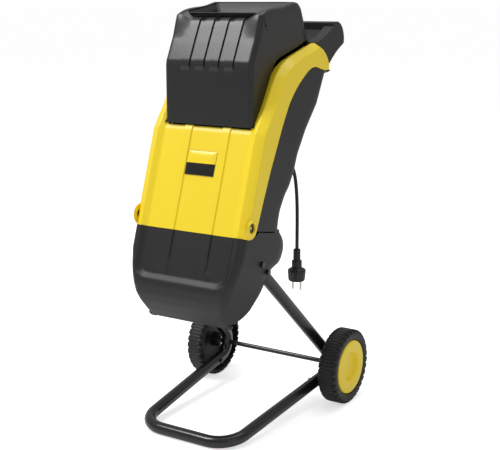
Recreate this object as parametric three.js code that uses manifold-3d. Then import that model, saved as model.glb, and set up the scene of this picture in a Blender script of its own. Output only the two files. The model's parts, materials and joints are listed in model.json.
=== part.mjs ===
// An electric garden shredder: a leaning two-colour body with a feed hopper on top and a
// cutting disc at the bottom, carried by a bent-tube stand on two wheels.
// Millimetres, +Z up, front of the machine towards -Y. The origin is on the ground, under
// the middle of the machine's width and depth.
import * as THREE from "three";
import { mergeVertices } from "three/addons/utils/BufferGeometryUtils.js";
import Module from "manifold-3d";

const wasm = await Module();
wasm.setup();

// ---------------------------------------------------------------- driving dimensions

const GAP = 0.3; // between pieces that touch
const SEAM = 0.5; // visible split between two casings

// Body, in its own leaning frame: x across, t into the depth from the front face, s along it
const LEAN = THREE.MathUtils.degToRad(18.81);
const BODY_FOOT = { y: -385, z: 237 }; // where t = 0 and s = 0, measured from the axle's foot
const BODY_WIDTH = 260; // across the yellow flanks
const BACK_INSET = 2.5; // black casings stand this far inside the yellow one
const WALL = 3;
const RIDGE_HEIGHT = 7; // edge ridges stand this far proud of the front face
const RIDGE_FOOT = 30; // flank to where the ridge's inner slope starts
const RIDGE_CREST = 17.5; // flank to the ridge's crest
const RIDGE_FALL = 10; // crest to flank, front to back
const RIB_HEIGHT = 2.5; // raised strips on the front
const RIB_WIDTH = 19;
const RIB_MIDDLE = 44; // middle line of each strip

// Pivot that the upper body tips about, in the lower front corners
const PIVOT = { t: 8, s: 210 };
const APRON_RADIUS = 22.5; // the yellow corner turns round the pivot at this radius
const BOSS_RADIUS = 12.7;
const BOSS_PROUD = 4;
const BOSS_RECESS = { radius: 9.7, depth: 7 };
const PIN_RADIUS = 3.5;
const PIN_HEAD = { radius: 8, length: 3 };
const EAR_WIDTH = 5.5;

// Hopper hood
const HOOD_WIDTH = 200;
const HOOD_CORNER = 8;
const MOUTH_WIDTH = 166;
const MOUTH = { front: -205, back: -99 }; // along the machine, from the axle
const HOOD_RIB = { width: 20, height: 3, pitch: 33.2, count: 4 };

// Cutting gear, all on one shaft line parallel to s
const SHAFT_T = 96;
const SHAFT_RADIUS = 6;
const DISC = { radius: 72, thickness: 8, top: 176 };
const KNIFE = { length: 52, width: 26, thickness: 4 };
const RING = { clearance: 5, wall: 3, top: 186 };
const LINER_S = 166;
const PLATE_S = 196;
const PLATE_THICKNESS = 6;
const MOTOR_RADIUS = 40;
const STATOR = { bottom: 234, length: 80, bore: 24.6 };
const ROTOR_AIR = 0.6;
const BEARING = { radius: 11, width: 8 };

// Stand
const TUBE_RADIUS = 12;
const TUBE_WALL = 1.8;
const FOOT_BAR = { y: -351, halfWidth: 107, bend: 56 };
const SIDE_X = 131; // middle of the tubes at the axle
const STRUT_TOP = { x: 109, t: 64, s: 154 }; // in the body's frame
const JOINT_BACK = 62; // tube joint, forward of the axle
const SPIGOT = { clearance: 0.4, length: 24 };
const AXLE_RADIUS = 5;
const RUNNING = 0.1; // radial clearance of a turning fit

// Wheels
const WHEEL_RADIUS = 80;
const WHEEL_WIDTH = 42;
const WHEEL_GAP = 1.2; // washer between tube and hub
const HUB_COVER_RADIUS = 57.6;
const HUB_RADIUS = 15;

// Mains lead
const LEAD_RADIUS = 3.7;
const LEAD_X = 75;
const GLAND_S = 368;
const GLAND = { radius: 11, collar: 5, sleeve: 30, tip: 6 };

// ---------------------------------------------------------------- small solid kit

const HALF = BODY_WIDTH / 2;
const BACK_HALF = HALF - BACK_INSET;
const HOOD_HALF = HOOD_WIDTH / 2;

const bodyMatrix = new THREE.Matrix4()
  .makeTranslation(0, BODY_FOOT.y, BODY_FOOT.z)
  .multiply(new THREE.Matrix4().makeRotationX(-LEAN));
const bodyInverse = bodyMatrix.clone().invert();

// A point of the upright frame (y, z) as a point of the leaning frame (t, s).
function leaning([y, z]) {
  const p = new THREE.Vector3(0, y, z).applyMatrix4(bodyInverse);
  return [p.y, p.z];
}

const vec2 = ([a, b]) => new THREE.Vector2(a, b);

// Evenly spaced points on a smooth line through a few stops.
function smooth(stops, pieces) {
  const line = new THREE.SplineCurve(stops.map(vec2));
  return line.getSpacedPoints(pieces).map((p) => [p.x, p.y]);
}

// Points on a circle's arc, angles in degrees from +t towards +s.
function arc([t, s], radius, from, to, pieces) {
  const points = [];
  for (let i = 0; i <= pieces; i++) {
    const a = THREE.MathUtils.degToRad(from + ((to - from) * i) / pieces);
    points.push([t + radius * Math.cos(a), s + radius * Math.sin(a)]);
  }
  return points;
}

// A closed outline moved inwards (or outwards, for a negative distance).
function inset(loop, distance) {
  const turn = Math.sign(THREE.ShapeUtils.area(loop.map(vec2)));
  return loop.map((p, i) => {
    const a = vec2(loop[(i + loop.length - 1) % loop.length]);
    const b = vec2(p);
    const c = vec2(loop[(i + 1) % loop.length]);
    const before = b.clone().sub(a).normalize();
    const after = c.clone().sub(b).normalize();
    const n1 = new THREE.Vector2(-before.y, before.x);
    const n2 = new THREE.Vector2(-after.y, after.x);
    const mid = n1.clone().add(n2);
    const k = (turn * distance) / Math.max(0.3, mid.lengthSq() / 2);
    return [b.x + mid.x * k, b.y + mid.y * k];
  });
}

// A three.js geometry as a manifold-3d solid.
function solid(geometry) {
  const plain = geometry.index ? geometry.toNonIndexed() : geometry;
  plain.deleteAttribute("normal");
  plain.deleteAttribute("uv");
  const merged = mergeVertices(plain, 1e-4);
  return new wasm.Manifold(
    new wasm.Mesh({
      numProp: 3,
      vertProperties: new Float32Array(merged.attributes.position.array),
      triVerts: new Uint32Array(merged.index.array),
    }),
  );
}

// A manifold-3d solid as a three.js geometry.
function geometryOf(body) {
  const mesh = body.getMesh();
  const geometry = new THREE.BufferGeometry();
  const points = new Float32Array((mesh.vertProperties.length / mesh.numProp) * 3);
  for (let i = 0; i < points.length / 3; i++)
    for (let k = 0; k < 3; k++) points[3 * i + k] = mesh.vertProperties[mesh.numProp * i + k];
  geometry.setAttribute("position", new THREE.BufferAttribute(points, 3));
  geometry.setIndex(Array.from(mesh.triVerts));
  const flat = geometry.toNonIndexed();
  flat.computeVertexNormals();
  return flat;
}

const joined = (first, ...others) => others.reduce((a, b) => a.add(b), first);
const without = (first, ...others) => others.reduce((a, b) => a.subtract(b), first);

const alongX = new THREE.Matrix4().makeBasis(
  new THREE.Vector3(0, 1, 0),
  new THREE.Vector3(0, 0, 1),
  new THREE.Vector3(1, 0, 0),
);
const alongMinusT = new THREE.Matrix4().makeBasis(
  new THREE.Vector3(1, 0, 0),
  new THREE.Vector3(0, 0, 1),
  new THREE.Vector3(0, -1, 0),
);

function extruded(loop, depth, options = {}) {
  const shape = new THREE.Shape(loop.map(vec2));
  for (const hole of options.holes ?? []) shape.holes.push(new THREE.Path(hole.map(vec2)));
  return new THREE.ExtrudeGeometry(shape, {
    depth,
    steps: 1,
    bevelEnabled: false,
    ...options.extrude,
  });
}

// A side outline (t, s) swept across from x0 to x1.
function slabX(loop, x0, x1) {
  return solid(extruded(loop, x1 - x0).applyMatrix4(alongX).translate(x0, 0, 0));
}

// The same, centred, with its two side edges taken back by `fall` over `run`.
function softSlabX(loop, half, run, fall, segments = 1) {
  const extrude = {
    bevelEnabled: true,
    bevelThickness: run,
    bevelSize: fall,
    bevelOffset: -fall,
    bevelSegments: segments,
  };
  const depth = 2 * (half - run);
  return solid(extruded(loop, depth, { extrude }).applyMatrix4(alongX).translate(run - half, 0, 0));
}

// A front outline (x, s) from depth t0 to t1.
function slabT(loop, t0, t1) {
  return solid(extruded(loop, t1 - t0).applyMatrix4(alongMinusT).translate(0, t1, 0));
}

// A plan outline (x, t) from s0 to s1.
function slabS(loop, s0, s1) {
  return solid(extruded(loop, s1 - s0).translate(0, 0, s0));
}

function block([x0, x1], [t0, t1], [s0, s1]) {
  const box = new THREE.BoxGeometry(x1 - x0, t1 - t0, s1 - s0);
  return solid(box.translate((x0 + x1) / 2, (t0 + t1) / 2, (s0 + s1) / 2));
}

// Cylinders along each axis, between two stations.
function rodX(radius, [x0, x1], t, s, sides = 24) {
  const rod = new THREE.CylinderGeometry(radius, radius, x1 - x0, sides).rotateZ(Math.PI / 2);
  return solid(rod.translate((x0 + x1) / 2, t, s));
}
function rodT(radius, [t0, t1], x, s, sides = 24, tip = radius) {
  const rod = new THREE.CylinderGeometry(tip, radius, t1 - t0, sides);
  return solid(rod.translate(x, (t0 + t1) / 2, s));
}
function rodS(radius, [s0, s1], x, t, sides = 24) {
  const rod = new THREE.CylinderGeometry(radius, radius, s1 - s0, sides).rotateX(Math.PI / 2);
  return solid(rod.translate(x, t, (s0 + s1) / 2));
}

// A closed profile of [radius, position] pairs turned about the x axis.
function turnedX(profile, sides = 48) {
  const closed = [...profile, profile[0]];
  const ring = new THREE.LatheGeometry(closed.map(vec2), sides).rotateZ(-Math.PI / 2);
  const made = solid(ring);
  return made.volume() < 0 ? solid(flipped(ring)) : made;
}

function flipped(geometry) {
  const turned = geometry.index ? geometry.toNonIndexed() : geometry.clone();
  const p = turned.attributes.position;
  for (let i = 0; i < p.count; i += 3)
    for (const get of ["getX", "getY", "getZ"]) {
      const set = get.replace("get", "set");
      const held = p[get](i + 1);
      p[set](i + 1, p[get](i + 2));
      p[set](i + 2, held);
    }
  return turned;
}

// A closed skin over a stack of loops with equal point counts.
function loft(loops) {
  const n = loops[0].length;
  const points = [];
  const middle = (loop) =>
    loop.reduce((a, p) => a.add(new THREE.Vector3(...p)), new THREE.Vector3()).divideScalar(n);
  const push = (...corners) => corners.forEach((c) => points.push(...c));
  for (let i = 0; i + 1 < loops.length; i++)
    for (let k = 0; k < n; k++) {
      const next = (k + 1) % n;
      push(loops[i][k], loops[i][next], loops[i + 1][next]);
      push(loops[i][k], loops[i + 1][next], loops[i + 1][k]);
    }
  const first = middle(loops[0]).toArray();
  const last = middle(loops.at(-1)).toArray();
  for (let k = 0; k < n; k++) {
    const next = (k + 1) % n;
    push(first, loops[0][next], loops[0][k]);
    push(last, loops.at(-1)[k], loops.at(-1)[next]);
  }
  const geometry = new THREE.BufferGeometry();
  geometry.setAttribute("position", new THREE.Float32BufferAttribute(points, 3));
  const made = solid(geometry);
  return made.volume() < 0 ? solid(flipped(geometry)) : made;
}

// A path through given stations, so that a sweep puts one ring at each of them.
class Stations extends THREE.Curve {
  constructor(points) {
    super();
    this.points = points;
  }
  getPoint(u, target = new THREE.Vector3()) {
    const last = this.points.length - 1;
    const at = Math.min(Math.max(u, 0), 1) * last;
    const i = Math.min(Math.floor(at), last - 1);
    return target.copy(this.points[i]).lerp(this.points[i + 1], at - i);
  }
  getPointAt(u, target) {
    return this.getPoint(u, target);
  }
  getTangentAt(u, target = new THREE.Vector3()) {
    const step = 0.2 / this.points.length;
    const a = this.getPoint(Math.max(u - step, 0));
    return target.copy(this.getPoint(Math.min(u + step, 1))).sub(a).normalize();
  }
}

// Stations along a bent tube: straight runs between corners, an arc at each corner.
function bentPath(corners, bends, pieces = 8) {
  const points = [corners[0]];
  for (let i = 1; i + 1 < corners.length; i++) {
    const back = corners[i - 1].clone().sub(corners[i]).normalize();
    const on = corners[i + 1].clone().sub(corners[i]).normalize();
    const half = back.angleTo(on) / 2;
    const radius = bends[i - 1];
    const middle = back.clone().add(on).normalize().multiplyScalar(radius / Math.sin(half));
    const centre = corners[i].clone().add(middle);
    const tangent = radius / Math.tan(half);
    const from = corners[i].clone().addScaledVector(back, tangent).sub(centre);
    const to = corners[i].clone().addScaledVector(on, tangent).sub(centre);
    const axis = from.clone().cross(to).normalize();
    const sweep = Math.PI - 2 * half;
    for (let k = 0; k <= pieces; k++)
      points.push(from.clone().applyAxisAngle(axis, (sweep * k) / pieces).add(centre));
  }
  points.push(corners.at(-1));
  return new Stations(points);
}

const circle = (radius, sides) =>
  Array.from({ length: sides }, (_, i) => {
    const a = (2 * Math.PI * (i + 0.5)) / sides;
    return [radius * Math.cos(a), radius * Math.sin(a)];
  });

// A tube (or a bar, with no bore) along stations.
function tube(path, radius, bore = 0, sides = 12) {
  const extrude = { extrudePath: path, steps: path.points.length - 1 };
  const holes = bore ? [circle(bore, sides)] : [];
  return solid(extruded(circle(radius, sides), 1, { holes, extrude }));
}

// ---------------------------------------------------------------- finishes

const finish = (color, roughness, metalness = 0) =>
  new THREE.MeshStandardMaterial({ color, roughness, metalness });
const yellowPlastic = finish(0xffd91f, 0.38);
const blackPlastic = finish(0x38383a, 0.5);
const blackPaint = finish(0x2a2a2c, 0.3, 0.1);
const blackRubber = finish(0x202022, 0.7);
const steel = finish(0xa9acb0, 0.35, 1);
const castAlloy = finish(0x9a9da1, 0.5, 1);
const copper = finish(0xb0673a, 0.4, 1);
const redPlastic = finish(0xb5231c, 0.4);
const labelFilm = finish(0x1b1b1b, 0.35);

const machine = new THREE.Group(); // upright frame, with the axle above y = 0
const body = new THREE.Group(); // leaning frame
body.applyMatrix4(bodyMatrix);
machine.add(body);

function add(group, name, material, made) {
  const mesh = new THREE.Mesh(geometryOf(made), material);
  mesh.name = name;
  group.add(mesh);
  return made;
}

const SIDES = [
  ["left", -1],
  ["right", 1],
];

// ---------------------------------------------------------------- casing outlines (t, s)

const REAR_BACK = 250; // beyond every casing
const shoulder = smooth(
  [[-RIDGE_HEIGHT, 392], [1, 414], [9, 434], [15, 457], [21, 482], [29, 507], [41, 530], [60, 549]]
    .concat([[88, 567], [120, 588], [138, 601]]),
  18,
);
const crown = smooth([[138, 601], [150, 606.5], [166, 605], [184, 597], [204, 582]], 6);
const seamCurve = smooth(
  [[PIVOT.t + APRON_RADIUS, PIVOT.s], [36, 268], [43, 327], [51, 377], [57, 417], [64, 444]].concat([
    [74, 475],
    [93, 508],
    [118, 540],
  ]),
  16,
);
const SEAM_TOP = [141, 555]; // front top corner of the back casing
const TAIL_FOOT = [193, 560];
const TAIL_END = [204, 582];

// Yellow casing as seen from the side.
const frontRegion = [
  [-RIDGE_HEIGHT - 20, PIVOT.s - APRON_RADIUS],
  ...arc([PIVOT.t, PIVOT.s], APRON_RADIUS, 270, 360, 8).slice(0, -1),
  ...seamCurve,
  SEAM_TOP,
  TAIL_FOOT,
  [TAIL_END[0] + 10, TAIL_END[1] - 12],
  [TAIL_END[0] + 40, TAIL_END[1] + 60],
  [-RIDGE_HEIGHT - 20, TAIL_END[1] + 60],
];

// Whole front form, carried back behind the seam.
const frontForm = [
  [-RIDGE_HEIGHT, 120],
  ...shoulder,
  ...crown.slice(1),
  [196, 520],
  [130, 400],
  [110, 120],
];

// Upper back casing: rear wall line from the notch up, closed well forward of the seam.
const NOTCH = [131, 220];
const rearLine = smooth(
  [NOTCH, [127.5, 262], [136, 292], [147, 312], [155, 344], [157.5, 378], [165, 404]].concat([
    [173, 432],
    [186, 462],
    [198.5, 490],
    [205, 530],
    [210, 566],
  ]),
  16,
);
const backForm = [[-40, 150], [NOTCH[0] - 2, 150], ...rearLine, [217, 640], [-40, 640]];
const backFoot = [
  [PIVOT.t + APRON_RADIUS + 1, PIVOT.s - 3],
  [NOTCH[0], NOTCH[1] + 1],
  [NOTCH[0] + 30, NOTCH[1] + 2.7],
];
const backRegion = [
  ...backFoot,
  [REAR_BACK, NOTCH[1] + 2.7],
  [REAR_BACK, 566],
  [208, 566],
  [TAIL_FOOT[0], TAIL_FOOT[1] - SEAM - 0.2],
  [SEAM_TOP[0] + SEAM, SEAM_TOP[1] - SEAM],
  ...inset([...seamCurve, [REAR_BACK, 540], [REAR_BACK, 210]], SEAM)
    .slice(0, seamCurve.length)
    .reverse(),
];

// Lower housing, level by level: how far forward and back it reaches, its half width there and
// the radius of its rear corners. It bulges behind, round the cutting disc.
const LEVELS = [
  { s: 4, front: 62, rear: 48, half: 89, corner: 12 },
  { s: 18, front: 53, rear: 62, half: 93, corner: 18 },
  { s: 30, front: 33, rear: 84, half: 97, corner: 26 },
  { s: 44, front: 14, rear: 106, half: 102, corner: 32 },
  { s: 58, front: 2, rear: 119, half: 107, corner: 36 },
  { s: 76, front: -4.5, rear: 129, half: 112, corner: 42 },
  { s: 94, front: -6.5, rear: 136, half: 117.5, corner: 46 },
  { s: 112, front: -7, rear: 140, half: 122, corner: 50 },
  { s: 130, front: -7, rear: 144, half: 125, corner: 54 },
  { s: 142, front: -7, rear: 150, half: 127.5, corner: 57 },
  { s: 152, front: -7, rear: 165, half: 127.5, corner: 60 },
  { s: 162, front: -7, rear: 180.5, half: 127.5, corner: 60 },
  { s: 174, front: -7, rear: 185, half: 127.5, corner: 60 },
  { s: 188, front: -7, rear: 188.5, half: 127.5, corner: 60 },
  { s: 200, front: -7, rear: 184, half: 127.5, corner: 58 },
  { s: 211, front: -7, rear: 184, half: 127.5, corner: 70 },
  { s: 220, front: -7, rear: 182, half: 127.5, corner: 88 },
  { s: 232, front: -7, rear: 180, half: 127.5, corner: 95 },
];

// The housing's outer form, or the same drawn in by a wall's thickness.
function lowerForm(wall = 0) {
  const loops = LEVELS.map(({ s, front, rear, half, corner }) => {
    const w = half - wall;
    const r = Math.max(corner - wall, 4);
    const [t0, t1] = [front + wall * 1.2, Math.max(rear - wall * 1.2, front + 14)];
    const back = arc([w - r, t1 - r], r, 0, 90, 6);
    const right = [
      [w - RIDGE_CREST + BACK_INSET, t0],
      [w, Math.min(t0 + RIDGE_FALL, t1 - r)],
      ...back,
    ];
    const left = right.map(([x, t]) => [-x, t]).reverse();
    return [...right, ...left].map(([x, t]) => [x, t, s]);
  });
  const ground = [
    [-600, 237 + wall],
    [-600, 900],
    [200, 900],
    [200, 237 + wall],
  ].map(leaning);
  const raised = wall ? loops.map((loop) => loop.map(([x, t, h]) => [x, t, h + wall * 0.4])) : loops;
  return loft(raised).intersect(slabX(ground, -HALF, HALF));
}

// The housing's top edge: front lip, hollow round the pivot, then the seam to the notch.
const lowerRegion = [
  [-60, PIVOT.s - APRON_RADIUS - SEAM],
  [-60, -20],
  [REAR_BACK, -20],
  [REAR_BACK, NOTCH[1] - 1],
  [164, NOTCH[1] - 1],
  [NOTCH[0], NOTCH[1]],
  ...arc([PIVOT.t, PIVOT.s], APRON_RADIUS + SEAM, 350, 270, 8),
];

// Trench between the two ridges, from s0 up.
const RIDGE_INNER = HALF - RIDGE_FOOT;
const RIDGE_TOP = HALF - RIDGE_CREST;
const trenchPlan = (shift = 0) => [
  [-RIDGE_TOP - 3, -RIDGE_HEIGHT - 2 + shift],
  [-RIDGE_TOP, -RIDGE_HEIGHT + shift],
  [-RIDGE_INNER, shift],
  [RIDGE_INNER, shift],
  [RIDGE_TOP, -RIDGE_HEIGHT + shift],
  [RIDGE_TOP + 3, -RIDGE_HEIGHT - 2 + shift],
  [RIDGE_TOP + 3, -60],
  [-RIDGE_TOP - 3, -60],
];

// ---------------------------------------------------------------- yellow front casing

const CUTOUT_S = 393.6; // the front face ends here, under the hood

function ribBars(s0, s1, base) {
  const [inner, outer] = [RIB_MIDDLE - RIB_WIDTH / 2, RIB_MIDDLE + RIB_WIDTH / 2];
  return [
    block([-outer, -inner], [base - RIB_HEIGHT, base + 1], [s0, s1]),
    block([inner, outer], [base - RIB_HEIGHT, base + 1], [s0, s1]),
  ];
}

function frontCasing() {
  const outer = without(
    softSlabX(frontForm, HALF, RIDGE_CREST, RIDGE_FALL),
    slabS(trenchPlan(), 100, CUTOUT_S + 40),
  );
  const innerForm = softSlabX(inset(frontForm, WALL), HALF - WALL, RIDGE_CREST, RIDGE_FALL);
  const inner = without(innerForm, slabS(trenchPlan(WALL), 90, CUTOUT_S + 40));
  const windowHalf = HOOD_HALF + 1;
  const window = block([-windowHalf, windowHalf], [-40, REAR_BACK], [CUTOUT_S, 700]);
  const bosses = SIDES.map(([, side]) => {
    const span = [HALF - 10, HALF + BOSS_PROUD].map((x) => x * side).sort((a, b) => a - b);
    return rodX(BOSS_RADIUS, span, PIVOT.t, PIVOT.s, 28);
  });
  const recesses = SIDES.map(([, side]) => {
    const floor = HALF + BOSS_PROUD - BOSS_RECESS.depth;
    const span = [floor, HALF + BOSS_PROUD + 5].map((x) => x * side).sort((a, b) => a - b);
    return rodX(BOSS_RECESS.radius, span, PIVOT.t, PIVOT.s, 28);
  });
  const bore = rodX(PIN_RADIUS + RUNNING, [-HALF - 20, HALF + 20], PIVOT.t, PIVOT.s, 20);
  const shell = outer.subtract(inner).intersect(slabX(frontRegion, -HALF - 1, HALF + 1));
  const ribs = ribBars(PIVOT.s - APRON_RADIUS, CUTOUT_S, 0);
  return without(joined(shell.subtract(window), ...bosses, ...ribs), ...recesses, bore);
}
const frontShell = add(body, "front_shell", yellowPlastic, frontCasing());

// ---------------------------------------------------------------- black back casing

const HUMP_HALF = 54;
const HUMP_RUN = 12;
const humpForm = (shift) => [
  [60, 222 + shift],
  [SHAFT_T + MOTOR_RADIUS + 7 - shift, 222 + shift],
  [SHAFT_T + MOTOR_RADIUS + 11 - shift, 235],
  [SHAFT_T + MOTOR_RADIUS + 13 - shift, 320],
  [160 - shift, 352],
  [164 - shift, 400 - shift],
  [60, 400 - shift],
];
const SHELF = { bottom: NOTCH[1] + 0.6, thickness: 3 };
const TAB = { half: 22, back: 202, bottom: SHELF.bottom, top: SHELF.bottom + 4.5 };
const KNOB = { height: 20, t: 188, stem: 4 };
const SWITCH = { s: 512, width: 46, height: 34, depth: 26, x: 0 };
const RESET_X = 42;
const RESET_RADIUS = 7;
const REAR_T_AT_SWITCH = 202; // rear wall at the switch

function ventSlots() {
  const slots = [];
  for (let row = 0; row < 6; row++)
    for (const side of [-1, 1]) {
      const [x0, x1] = [10, 38].map((x) => x * side).sort((a, b) => a - b);
      const s = 250 + row * 12;
      slots.push(block([x0, x1], [SHAFT_T + MOTOR_RADIUS, 170], [s, s + 5]));
    }
  return slots;
}

// Shelf that closes the bulge of the lower housing from above, over the cutting disc.
function shelf() {
  const { rear, half, corner } = LEVELS.find(({ s }) => s === 220);
  const edge = arc([half - corner, rear - corner], corner, 0, 90, 8);
  const plan = [[half, 118], ...edge.filter(([, t]) => t > 118)];
  const left = plan.map(([x, t]) => [-x, t]).reverse();
  return slabS([...plan, ...left], SHELF.bottom, SHELF.bottom + SHELF.thickness);
}

function backCasing() {
  const outer = joined(
    softSlabX(backForm, BACK_HALF, 24, 16, 4),
    softSlabX(humpForm(0), HUMP_HALF, HUMP_RUN, HUMP_RUN),
  );
  const inner = joined(
    softSlabX(inset(backForm, WALL), BACK_HALF - WALL, 22, 15, 4),
    softSlabX(humpForm(WALL), HUMP_HALF - WALL, HUMP_RUN - 1, HUMP_RUN - 1),
  );
  const shell = outer.subtract(inner).intersect(slabX(backRegion, -HALF, HALF));
  const ledge = shelf().subtract(inner);
  const tab = block([-TAB.half, TAB.half], [150, TAB.back], [TAB.bottom, TAB.top]);
  const stemHole = rodS(KNOB.stem + 0.5, [200, 240], 0, KNOB.t, 16);
  const [w, h] = [SWITCH.width / 2 + GAP, SWITCH.height / 2 + GAP];
  const switchHole = block([-w, w], [170, 260], [SWITCH.s - h, SWITCH.s + h]);
  const resetHole = rodT(RESET_RADIUS + GAP, [170, 260], RESET_X, SWITCH.s, 20);
  const glandHole = rodT(GLAND.radius + GAP, [120, 200], LEAD_X, GLAND_S, 20);
  return without(
    joined(shell, ledge, tab),
    stemHole,
    switchHole,
    resetHole,
    glandHole,
    ...ventSlots(),
  );
}
const backShell = add(body, "back_shell", blackPlastic, backCasing());

// ---------------------------------------------------------------- hopper hood

const HOOD_FRONT = -261;
const HOOD_SILL = 611;
const HOOD_CREASE = 726;
const RIM_BACK = 841;
const hoodTop = [
  [HOOD_FRONT, HOOD_CREASE],
  [-257, 737],
  [-227, 797],
  ...smooth([[-224, 802], [-217, 808], [-205, 812]], 3),
  ...smooth([[-112, 838], [-98, 841.5], [-84, 840], [-73, 831]], 4),
  [-62, 806],
  [-50.5, 769.5],
];
const hoodFoot = smooth(
  [[-50.5, 769.5], [-82, 757.6], [-121, 747.4], [-155, 738.4], [-175, 727.9], [-188, 713]].concat([
    [-202, 687],
    [-215, 665],
    [-228, 642],
    [-242, 625],
    [HOOD_FRONT, HOOD_SILL],
  ]),
  16,
);
const hoodOutline = [...hoodTop, ...hoodFoot.slice(1, -1), [HOOD_FRONT, HOOD_SILL]].map(leaning);
// Open below: the cavity runs on past the hood's lower edge.
const hoodHollow = [
  [HOOD_FRONT + WALL, HOOD_SILL - 60],
  [HOOD_FRONT + WALL, HOOD_CREASE],
  [-254, 738],
  [-223, 797],
  [-205, 808],
  [-112, 834],
  [-96, 837],
  [-77, 829],
  [-66, 806],
  [-54.5, 769.5],
  [-40, 700],
].map(leaning);

function hopperHood() {
  const outer = softSlabX(hoodOutline, HOOD_HALF, HOOD_CORNER, HOOD_CORNER, 3);
  const hollow = softSlabX(hoodHollow, HOOD_HALF - WALL, HOOD_CORNER - 1, HOOD_CORNER - 1);
  const ribs = [];
  for (let i = 0; i < HOOD_RIB.count; i++) {
    const x = (i - (HOOD_RIB.count - 1) / 2) * HOOD_RIB.pitch;
    const raised = inset(hoodOutline, -HOOD_RIB.height);
    const strip = slabX(raised, x - HOOD_RIB.width / 2, x + HOOD_RIB.width / 2);
    const face = [
      [-300, HOOD_CREASE - 4],
      [HOOD_FRONT + 1, HOOD_CREASE - 4],
      [-254, HOOD_CREASE + 10],
      [-220, 797],
      [-212, 806],
      [-300, 850],
    ].map(leaning);
    ribs.push(strip.intersect(slabX(face, -HOOD_HALF, HOOD_HALF)));
  }
  const mouth = [
    [MOUTH.front, 640],
    [MOUTH.front, 900],
    [MOUTH.back, 900],
    [MOUTH.back, 640],
  ].map(leaning);
  const opening = slabX(mouth, -MOUTH_WIDTH / 2, MOUTH_WIDTH / 2);
  return joined(outer, ...ribs).subtract(joined(hollow, opening));
}
const hood = add(body, "hopper_hood", blackPlastic, hopperHood());

// ---------------------------------------------------------------- feed chute

// A rounded-corner rectangle in the plane through (t0, s0) and (t1, s1).
function chuteLoop(half, [t0, s0], [t1, s1], grow = 0) {
  const length = Math.hypot(t1 - t0, s1 - s0);
  const [dt, ds] = [(t1 - t0) / length, (s1 - s0) / length];
  const [a, b] = [-grow, length + grow];
  const w = half + grow;
  const c = 4;
  const flat = [
    [-w + c, a], [w - c, a], [w, a + c], [w, b - c],
    [w - c, b], [-w + c, b], [-w, b - c], [-w, a + c],
  ];
  return flat.map(([x, k]) => [x, t0 + dt * k, s0 + ds * k]);
}

const CHUTE_WALL = 2.5;
const chuteMouth = [
  [MOUTH.front + 5, 799],
  [MOUTH.back - 5, 822],
].map(leaning);
const chuteStations = [
  [36, [28, RING.top + 1], [53, RING.top + 1]],
  [44, [14, 240], [51, 240]],
  [56, [13, 330], [52, 330]],
  [62, [13, 420], [56, 420]],
  [MOUTH_WIDTH / 2 - 5, chuteMouth[0], chuteMouth[1]],
];
const stretchEnds = (loops, by) => {
  const along = (a, b) => a.map((p, i) => p.map((v, k) => v + (v - b[i][k]) * by));
  return [along(loops[0], loops[1]), ...loops.slice(1, -1), along(loops.at(-1), loops.at(-2))];
};

function feedChute() {
  const outer = loft(chuteStations.map(([half, a, b]) => chuteLoop(half, a, b, CHUTE_WALL)));
  const inner = loft(stretchEnds(chuteStations.map(([half, a, b]) => chuteLoop(half, a, b)), 0.1));
  return outer.subtract(inner);
}
const chute = feedChute();

// ---------------------------------------------------------------- bearing plate, upper body

const PLATE = { half: 100, front: 10, back: 121 };
function bearingPlate() {
  const plate = block(
    [-PLATE.half, PLATE.half],
    [PLATE.front, PLATE.back],
    [PLATE_S, PLATE_S + PLATE_THICKNESS],
  );
  const cup = rodS(BEARING.radius + 5, [PLATE_S, PLATE_S + BEARING.width + 4], 0, SHAFT_T);
  const seat = rodS(BEARING.radius + GAP, [PLATE_S + 3, PLATE_S + 40], 0, SHAFT_T);
  const through = rodS(SHAFT_RADIUS + 2, [PLATE_S - 5, PLATE_S + 40], 0, SHAFT_T);
  const passage = loft(
    stretchEnds(
      chuteStations.slice(0, 3).map(([half, a, b]) => chuteLoop(half, a, b, CHUTE_WALL + 0.5)),
      0.2,
    ),
  );
  return without(joined(plate, cup), seat, through, passage);
}
add(body, "bearing_plate", castAlloy, bearingPlate());
add(body, "feed_chute", blackPlastic, chute);

// ---------------------------------------------------------------- handle with top deck

const HANDLE = { half: 115, arm: 22 };
const deckLine = [
  [146.5, 610.4],
  [210.5, 568.6],
];
const gripOutline = [
  ...smooth([[30, 799], [44, 802.5], [58, 799], [70, 790], [77, 776], [78.5, 762]], 7),
  [77, 757],
  [62, 757],
  [46, 771],
  [31, 785],
].map(leaning);
const armOutline = [
  ...smooth([[-12, 771], [14, 782], [40, 798], [58, 799], [70, 790], [77, 776], [78.5, 762]], 9),
  [77, 757],
  ...smooth([[52, 744.5], [32, 731.5], [14.5, 717], [2, 707]], 4),
  [-14, 700],
  [-34, 735],
  [-38, 762],
].map(leaning);

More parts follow.
